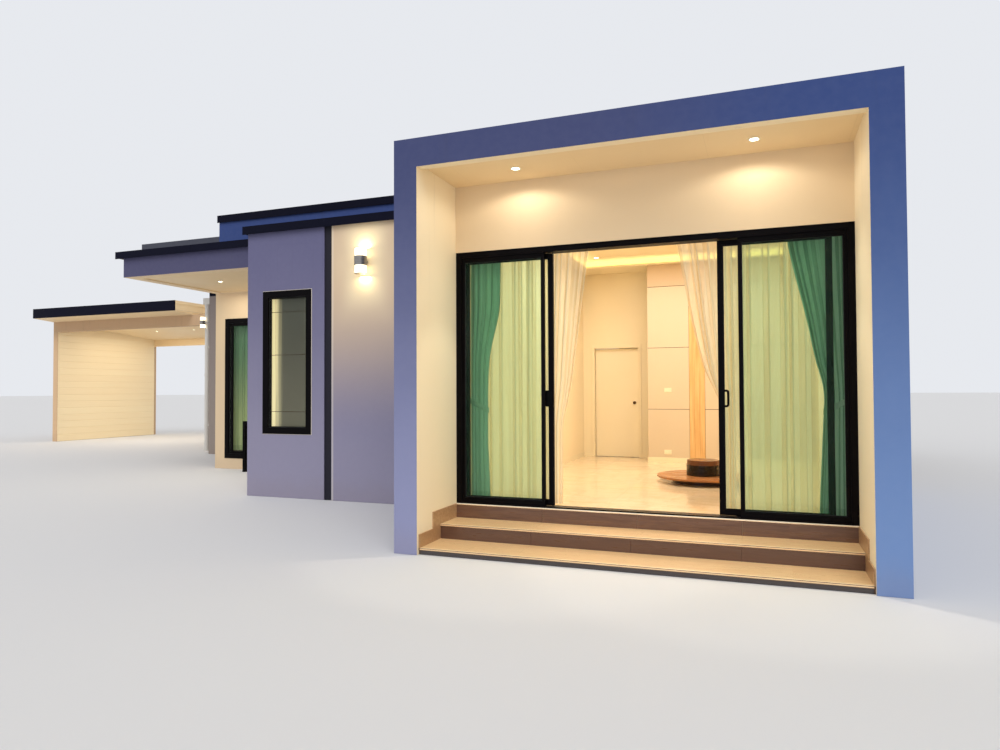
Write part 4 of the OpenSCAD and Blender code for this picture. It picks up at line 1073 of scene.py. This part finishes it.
def through(heights, places):
    """The smooth curve of X over Z through the given places: straight parts joined by averaging."""
    fine, width = np.arange(300, 3760, 10.0), 27
    order = np.argsort(heights)
    raw = np.interp(fine, np.array(heights, float)[order], np.array(places, float)[order])
    soft = np.convolve(np.pad(raw, width // 2, mode="edge"), np.ones(width) / width, mode="valid")
    return lambda z: np.interp(z, fine, soft)


def upright(x):
    """The edge of cloth that hangs straight down at x."""
    return lambda z: x + 0 * z


def add_cloth(name, finish, slot, drop, carrier, stands_for, *form, **ways):
    """A pleated curtain as a sheet in the place of a CAD node. `carrier` is not used."""
    points, faces, uv, width = hanging(*form, **ways)
    cloth = Form()
    cloth.add(points, faces, 0, uv)
    made = cloth.build(name, finish, slot=slot, sharp=3.0)
    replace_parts(made, stands_for)


def add_tie(side, start, edge, jamb, away):
    """The band that ties a drape back between its start and its free edge, and the hook on the jamb."""
    band, hook = Form(), Form()
    t = np.linspace(0, 2 * np.pi, 49)[:-1]
    inner = float(edge(np.array([TIE_HEIGHT]))[0])
    middle, reach, fall = (start + inner) / 2, abs(inner - start) / 2 + 5, 52.8
    path = np.stack([middle + reach * np.cos(t), TIE_MIDDLE_Y + 27.0 * np.sin(t),
                     TIE_HEIGHT - fall * away * np.cos(t)], axis=1)
    band.add(*swept(path, rounded(3.0, 58, 1.2, 3), (0, 0, 1), closed=True))
    band.build(side + "_tie_band", "green_fabric")
    rose = [(0, -2), (19, -2), (19, 3), (16, 6), (6, 8), (5, 40), (9, 46), (11, 54), (8, 61), (0, 63)]
    foot = (jamb, TIE_MIDDLE_Y, TIE_HEIGHT + 40)
    hook.add(*turned([(a, away * b) for a, b in rose], foot, axis=0, sides=24))
    hook.build(side + "_tie_hook", "lamp_metal", flip=(away < 0))


def add_curtains():
    """A drape and a sheer on each side of the doors with the drapes' ties, and the porch window's curtain."""
    for side, jamb, start, away, seeds in (("left", ROOM_LEFT, 313, 1, (0.1, 0.3)),
                                           ("right", ROOM_RIGHT, 4057, -1, (0.6, 0.8))):
        edge, sheer_edge = through(*DRAPES[side]), through(*SHEERS[side])
        add_cloth(side + "_drape", "green_fabric", "green_fabric", 3.34, "room_ceiling", "tied_drapes",
                  CLOTH_HEAD, CLOTH_FOOT, upright(start), edge, 6, *DRAPE_DEPTH, fine=24, seed=seeds[0])
        add_cloth(side + "_sheer", "white_fabric", "white_fabric", 3.34, "room_ceiling", "sheer_curtains",
                  CLOTH_HEAD, CLOTH_FOOT, upright(start), sheer_edge, 14, *SHEER_DEPTH,
                  fine=22, seed=seeds[1], still=0.6)
        add_tie(side, start, edge, jamb, away)
    head, foot, left, right, front, rear = 3210, 362, -7007, -5113, 5642, 5708
    add_cloth("porch_window_curtain", "porch_cloth", "green_fabric", 2.85, "porch_wall", "porch_curtain",
              head, foot, upright(left), upright(right), 15, front, rear, fine=16, seed=0.45)


# Room

# The feature wall's face and left end, the wood strip's ends, and the inner doorway's left, right and top
FEATURE_FACE, FEATURE_LEFT, STRIP_LEFT, STRIP_RIGHT = 6045.5, 1520.0, 2202.0, 2458.0
INNER_DOORWAY = (453.0, 1257.0, 2334.0)
CASING_W = 55.0


def add_feature_wall():
    """The feature wall's panels with the dark joints between them, and the boards of its wood strip."""
    panels, joints, strip = Form(), Form(), Form()
    cuts = (1236, 2276, 3316)
    for x0, x1, n in ((FEATURE_LEFT, STRIP_LEFT, 1), (STRIP_RIGHT, ROOM_RIGHT, 2)):
        edges = np.linspace(x0, x1, n + 1)
        for a, b in zip(edges[:-1], edges[1:]):
            for k, (low, high) in enumerate(spans(FLOOR + 1.5, cuts, CEILING)):
                left, right = a + (2 if a > x0 else 0), b - (2 if b < x1 else 0)
                panels.add(*eased((left, FEATURE_FACE - 0.5, low), (right, FEATURE_FACE + 6.5, high), 1.5),
                           finish=k // len(cuts))
        for z in cuts:
            joints.add(*eased((x0 + 1, FEATURE_FACE + 2.5, z - 1),
                              (x1 - 1, FEATURE_FACE + 5, z + JOINT_H + 1), 0.4))
    for x in (STRIP_LEFT - 1, STRIP_RIGHT - 4):
        joints.add(*eased((x, FEATURE_FACE + 1, FLOOR + 1.5), (x + 5, FEATURE_FACE + 5.5, cuts[-1]), 0.4))
    panels.build("feature_panels", "wall_panel shaded_panel")
    joints.build("feature_joints", "panel_joint", slot="wall_panel")
    for x0, x1 in ((2206, 2287), (2289, 2371), (2373, 2454)):
        strip.add(*eased((x0, FEATURE_FACE - 1.5, FLOOR + 1.5), (x1, FEATURE_FACE + 6.5, CEILING), 2.0))
    strip.build("wood_strip_boards", "warm_wood")


def add_skirting():
    """The skirting. Each of its runs has the axis along which it lies, the wall's face, the sign of the
    room's side, and its two ends."""
    skirting, (left, right, _), curtains_end = Form(), INNER_DOORWAY, 1252
    base = [(0, 0), (0, 73), (3, 80), (8, 82), (11, 80), (11, 0)]
    for axis, wall, way, start, end in (
            (0, ROOM_REAR + 0.5, -1, ROOM_LEFT, left - CASING_W),
            (0, ROOM_REAR + 0.5, -1, right + CASING_W, ROOM_RIGHT),
            (0, FEATURE_FACE, -1, FEATURE_LEFT - 11, STRIP_LEFT + 1),
            (0, FEATURE_FACE, -1, STRIP_RIGHT - 1, ROOM_RIGHT),
            (1, FEATURE_LEFT + 0.5, -1, FEATURE_FACE - 11.5, FEATURE_FACE + 154.5),
            (1, ROOM_LEFT - 0.5, 1, curtains_end, ROOM_REAR),
            (1, ROOM_RIGHT + 0.5, -1, curtains_end, FEATURE_FACE - 0.5)):
        skirting.add(*bar([(wall + way * a, FLOOR + b) for a, b in base], start, end, axis=axis))
    skirting.build("room_skirting", "inner_plaster")


def add_casing():
    """The inner door's casing: two uprights and a head."""
    casing, (left, right, top), front, rear = Form(), INNER_DOORWAY, ROOM_REAR - 13, ROOM_REAR + 2
    outer_left, outer_right, outer_top = left - CASING_W, right + CASING_W, top + CASING_W + 1
    casing.add(*eased([(outer_left, front, FLOOR), (right, front, FLOOR), (outer_left, front, top)],
                      [(left, rear, top), (outer_right, rear, top), (outer_right, rear, outer_top)], 3))
    casing.build("inner_door_casing", "inner_plaster", slot="white_door")


def add_inset_trims():
    """The trim round the ceiling's inset, and the strip of light above it."""
    tray, glow = Form(), Form()
    lip = [(-30, 0.5), (-30, -6), (-22, -9), (-4, -9), (2, -4), (2, 0.5)]
    tray.add(*framed(*INSET, lip, CEILING, axis=2))
    tray.build("tray_edge_trim", "white_trim", slot="inner_plaster")
    glow.add(*framed(*INSET, [(-0.5, 0), (6, 0), (9, 60), (-0.5, 66)], CEILING + 22, axis=2))
    glow.build("cove_light_strip", "cove_light", slot="lit_diffuser")


def add_switches():
    """A plate with two switches, and low under it one with two sockets, on the feature wall."""
    plates = Form()
    half_w, half_h, front, middles = 60, 37, FEATURE_FACE - 7.5, ((1855, 1565), (1845, 520))
    for x, z in middles:
        plates.add(*eased((x - half_w, front, z - half_h), (x + half_w, front + 8, z + half_h), 2))
        for dx in (-24, 24):
            plates.add(*eased((x + dx - 17, front - 2.5, z - 23), (x + dx + 17, front + 1, z + 23), 1.2))
    plates.build("switch_plates", "white_trim", slot="wall_panel")


def add_wall_lamp(glass, metal, place, d, h, stand, axis):
    """A cylinder lamp of diameter d and height h: a lit tube and an end disc above and below a grooved
    collar, on an arm of length stand along the axis."""
    r, c, sides = d / 2, 0.18 * h, 56
    tube = [(0, c - 3), (0.86 * r, c - 3), (0.89 * r, c + 2), (0.90 * r, 0.3 * h),
            (0.90 * r, h / 2 - 9), (0.87 * r, h / 2 - 7), (0, h / 2 - 7)]
    disc = [(0, h / 2 - 8), (0.93 * r, h / 2 - 8), (0.96 * r, h / 2 - 6), (0.96 * r, h / 2 - 2),
            (0.93 * r, h / 2), (0, h / 2)]
    for s in (1, -1):
        for form, profile in ((glass, tube), (metal, disc)):
            points, faces = turned([(a, s * b) for a, b in profile], place, sides=sides)
            form.add(points, faces if s == 1 else [f[:, ::-1] for f in faces])
    collar = [(0, -c), (0.97 * r, -c), (r, 3 - c), (r, -0.42 * c), (0.975 * r, -0.38 * c),
              (0.975 * r, -0.30 * c), (r, -0.26 * c)]
    collar += [(a, -b) for a, b in collar[::-1]]
    metal.add(*turned(collar, place, sides=sides))
    arm_r = d * 0.15
    arm = [(0, 0.4 * r), (arm_r, 0.4 * r), (arm_r, stand - 14), (arm_r * 1.5, stand - 10),
           (arm_r * 1.6, stand - 1), (arm_r * 1.6, stand), (0, stand)]
    metal.add(*turned(arm, place, axis=axis, sides=40))


def add_lamps():
    """The two wall lamps, and the ceiling lights' lenses, with rims on those of the carport."""
    glass, metal, lenses, rims = Form(), Form(), Form(), Form()
    add_wall_lamp(glass, metal, WING_LAMP, 180, 365, 120, 1)
    add_wall_lamp(glass, metal, REAR_LAMP, 130, 290, 240, 0)
    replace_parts(glass.build("wall_lamp_tubes", "lit_diffuser"), "wall_lamps")
    metal.build("wall_lamp_fittings", "lamp_metal")
    lens = [(0, -6.6), (14, -6.4), (28, -5.6), (38.5, -4.6), (39.4, -3.4), (0, -3.4)]
    rim = [(38, -3), (42, -9), (52, -9), (56, -5), (56, 8), (38, 8)]
    recess = [(x, *RECESS_LAMP) for x in RECESS_LAMPS_X]
    porch, room = (-6030, 4265, 3610), (745, 5590, 3805)
    carport = [(-16014, 12194, 3659), (-14427, 12228, 3656)]
    for place in recess + [porch, room] + carport:
        lenses.add(*turned(lens, place, sides=40))
    for place in carport:
        rims.add(*turned(rim, place, sides=40))
    lenses.build("ceiling_light_lenses", "spot_lens", slot="lit_diffuser")
    rims.build("carport_light_rims", "white_trim", slot="lit_diffuser")


# Outer shell

# Each metal cap: its ends along X, its front, its underside and its top, and how many joints it has
CAPS = (((-4015, 0), 2517, (3960, 4065), 2), ((-7355, -4015), 3150, (3940, 4045), 1),
        ((-7170, 4400), 5410, (5080, 5210), 4))
# Each roof with laps across it: its ends along X, its top, and the first lap, the laps' limit and their pitch
ROOFS = (((-10880, 4660), 5200, (7000, 14200, 1450)), ((20, 4350), 4000, (700, 6700, 1200)))
# The right side of the carport's roof, the front and rear of its ribs, and its top
CARPORT_SIDE, CARPORT_FRONT, CARPORT_REAR, CARPORT_TOP = -12335.0, 9720.0, 13946.0, 4199.0


def add_cap_details():
    """Drip edges and joint covers on the metal caps."""
    drip, covers = Form(), Form()
    edge = [(-2, 0.5), (-2, -14), (-5, -17), (-5, -21), (-1, -21), (2, -16), (2, 0.5)]
    for ((x0, x1), front, (low, high), n), drip_end in zip(CAPS, (0, -3955, 4400)):
        drip.add(*bar([(front + 2 + a, low + b) for a, b in edge], x0, drip_end))
        for x in np.linspace(x0, x1, n + 2)[1:-1]:
            covers.add(*eased((x - 35, front - 2, low - 2), (x + 35, front + 6, high - 1), 1.0))
    drip.build("cap_drips", "dark_metal")
    covers.build("cap_joint_covers", "dark_metal")


def add_roof_details():
    """Laps across the flat roofs, and the ribs of the carport's roof."""
    laps, ribs = Form(), Form()
    for (x0, x1), top, rows in ROOFS:
        y = np.arange(*rows, dtype=float)
        laps.add(*eased([(x0, v - 45, top - 4) for v in y], [(x1, v + 45, top + 4) for v in y], 2))
    laps.build("roof_laps", "roof_membrane")
    rib = [(-26, 0), (-12, 14), (12, 14), (26, 0)]
    for x in np.arange(-18000, -12400, 250.0):
        ribs.add(*bar([(x + a, CARPORT_TOP + b) for a, b in rib], CARPORT_FRONT, CARPORT_REAR, axis=1))
    ribs.build("carport_roof_ribs", "roof_membrane")


def add_carport_details():
    """The boards of the carport's wall, each with a sloped edge above and below, and the side's two trims."""
    boards, trims = Form(), Form()
    board_h, board_top, inner, outer, back = 215.0, 3835, -17901, -17909, -17918
    section = np.concatenate([[(outer, z + 1), (inner, z + 8), (inner, z + 207), (outer, z + 214)]
                              for z in np.arange(0, board_top + 1, board_h)])
    section = section[section[:, 1] < board_top]
    section = np.concatenate([[(back, 0)], section, [(outer, board_top), (back, board_top)]])
    boards.add(*bar(section, 10052, 13849, axis=1))
    boards.build("carport_boards", "painted_board", slot="carport_render")
    bead = [(0.5, 0), (-12, 0), (-12, 34), (-6, 40), (0.5, 40)]
    for low, share in ((4110, 1), (3905, 0.6)):
        trims.add(*bar([(CARPORT_SIDE - a, low + b * share) for a, b in bead], 9380, 10650, axis=1))
    trims.build("carport_side_trims", "cream_board", slot="carport_render")


def add_beads():
    """The bead round the canopy's soffit, and the joint between the portal and the wing."""
    beads, joint, wing_front = Form(), Form(), 2577.0
    lip_down = [(0, 0.5), (0, -16), (6, -20), (14, -18), (18, -6), (18, 0.5)]
    beads.add(*framed((-7020, 3410), (-4155, 5340), lip_down, 3610, axis=2))
    beads.build("canopy_soffit_bead", "cream_board")
    joint.add(*bar([(-13, wing_front - 15), (-13, wing_front + 0.5), (0.5, wing_front + 0.5),
                    (0.5, wing_front - 15)], 0, 3960, axis=2))
    joint.build("portal_wing_joint", "rubber_seal", slot="groove_board")


for add_part in (add_steps, add_floor, add_door_details, add_window_seals, add_wing_window, add_curtains,
                 add_feature_wall, add_skirting, add_casing, add_inset_trims, add_switches, add_lamps,
                 add_cap_details, add_roof_details, add_carport_details, add_beads):
    add_part()


# Floor, light and camera

def plain_floor():
    """A wide pale floor under the house."""
    mesh = bpy.data.meshes.new("pale_floor")
    far, level = 400.0, -0.002
    corners = [(-far, -far, level), (far, -far, level), (far, far, level), (-far, far, level)]
    mesh.from_pydata(corners, [], [(0, 1, 2, 3)])
    floor = bpy.data.objects.new("pale_floor", mesh)
    bpy.context.scene.collection.objects.link(floor)
    mesh.materials.append(Finish("pale_floor", (0.72, 0.72, 0.73, 1), roughness=0.9).material)


def sky():
    """A plain world: soft light on the house, and a pale plain colour where the camera, a mirror or glass
    sees it."""
    world = bpy.data.worlds.new("studio")
    bpy.context.scene.world = world
    world.use_nodes = True
    tree = world.node_tree
    tree.nodes.clear()
    out = tree.nodes.new("ShaderNodeOutputWorld")
    path = tree.nodes.new("ShaderNodeLightPath")

    def either(a, b):
        made = tree.nodes.new("ShaderNodeMath")
        made.operation = "MAXIMUM"
        tree.links.new(a, made.inputs[0])
        tree.links.new(b, made.inputs[1])
        return made.outputs[0]

    seen = either(path.outputs["Is Camera Ray"], path.outputs["Is Transmission Ray"])
    seen = either(seen, path.outputs["Is Glossy Ray"])
    soft, pale = tree.nodes.new("ShaderNodeBackground"), tree.nodes.new("ShaderNodeBackground")
    soft.inputs[0].default_value, soft.inputs[1].default_value = (1, 1, 1, 1), 0.72
    pale.inputs[0].default_value, pale.inputs[1].default_value = (0.80, 0.82, 0.86, 1), 1.0
    both = tree.nodes.new("ShaderNodeMixShader")
    for k, source in enumerate((seen, soft.outputs[0], pale.outputs[0])):
        tree.links.new(source, both.inputs[k])
    tree.links.new(both.outputs[0], out.inputs[0])


def place_light(name, kind, place, aim, **settings):
    """A lamp at a place in house millimetres, turned towards another."""
    data = bpy.data.lights.new(name, kind)
    for key, value in settings.items():
        setattr(data, key, value)
    lamp = bpy.data.objects.new(name, data)
    bpy.context.scene.collection.objects.link(lamp)
    a, b = ((np.asarray(p, dtype=float) - ORIGIN) / 1000.0 for p in (place, aim))
    lamp.location = Vector(a)
    lamp.rotation_mode = "QUATERNION"
    lamp.rotation_quaternion = Vector(b - a).to_track_quat("-Z", "Y")


def ceiling_light(name, place, power, size, tint):
    """A flat lamp of a width and a depth in metres that shines straight down."""
    place_light(name, "AREA", place, (*place[:2], 0), energy=power, shape="RECTANGLE",
                size=size[0], size_y=size[1], color=tint)


def spot_light(name, place, aim, power, angle, blend, soft, tint):
    """A lamp with a cone of the given angle in degrees."""
    place_light(name, "SPOT", place, aim, energy=power, spot_size=math.radians(angle), spot_blend=blend,
                shadow_soft_size=soft, color=tint)


def lights():
    """A soft sun from the front, the lamps of the portal's recess, one flat lamp each for the room, the porch
    and the carport, a lamp on the carport's side, and the wash above and below the wing's wall lamp."""
    place_light("key", "SUN", (9000, -14000, 20000), (0, 4000, 0), energy=1.0, angle=math.radians(40))
    warm, mild, amber = (1.0, 0.93, 0.80), (1.0, 0.95, 0.86), (1.0, 0.80, 0.5)
    ceiling_light("recess", (MIDDLE_X, 500, 3740), 1.5, (3.6, 0.7), warm)
    for x in RECESS_LAMPS_X:
        spot_light("recess_glow_%d" % x, (x, 521, 3750), (x, 521, 0), 17, 164, 0.35, 0.04, warm)
        spot_light("recess_beam_%d" % x, (x, 521, 3750), (x, 480, 0), 70, 62, 0.3, 0.04, warm)
    for x, wall, power in zip(RECESS_LAMPS_X, STEP_ENDS, (9, 45)):
        spot_light("recess_side_%d" % x, (x, 480, 3700), (wall, 440, 1200), power, 64, 1.0, 0.08, warm)
    ceiling_light("room", (MIDDLE_X, 4000, 3690), 94, (3.0, 2.4), mild)
    ceiling_light("porch", (-5600, 4400, 3560), 32, (2.4, 1.6), warm)
    ceiling_light("carport", (-15100, 11900, 3560), 70, (4.4, 2.6), warm)
    place_light("carport_side", "AREA", (-10600, 9300, 4000), (CARPORT_SIDE, 9950, 4050), energy=9,
                shape="DISK", size=0.8, color=mild)
    x, y, z = WING_LAMP
    for way in (-1, 1):
        place, aim = (x, y + 83, z + way * 200), (x, y + 103, z + way * 900)
        place_light("wall_lamp_%d" % (way + 1), "AREA", place, aim, energy=1.6, shape="DISK", size=0.16,
                    color=amber)


def camera():
    """The photograph's view: 1.55 m above the ground, turned 20.6 degrees to the left and 1.35 up."""
    place = (10.0445, -13.095, 1.552)
    turn, tip, roll = math.radians(20.565), math.radians(1.354), math.radians(-0.233)
    ahead = Vector((-math.sin(turn) * math.cos(tip), math.cos(turn) * math.cos(tip), math.sin(tip)))
    right = Vector((math.cos(turn), math.sin(turn), 0))
    up = right.cross(ahead)
    x = math.cos(roll) * right + math.sin(roll) * up
    y = -math.sin(roll) * right + math.cos(roll) * up
    data = bpy.data.cameras.new("camera")
    data.sensor_width, data.lens = 36.0, 25.046
    data.clip_start, data.clip_end = 0.1, 500.0
    made = bpy.data.objects.new("camera", data)
    bpy.context.scene.collection.objects.link(made)
    made.matrix_world = Matrix.Translation(place) @ Matrix((x, y, -ahead)).transposed().to_4x4()
    bpy.context.scene.camera = made


plain_floor()
sky()
lights()
camera()
bpy.context.scene.view_settings.view_transform = "Standard"
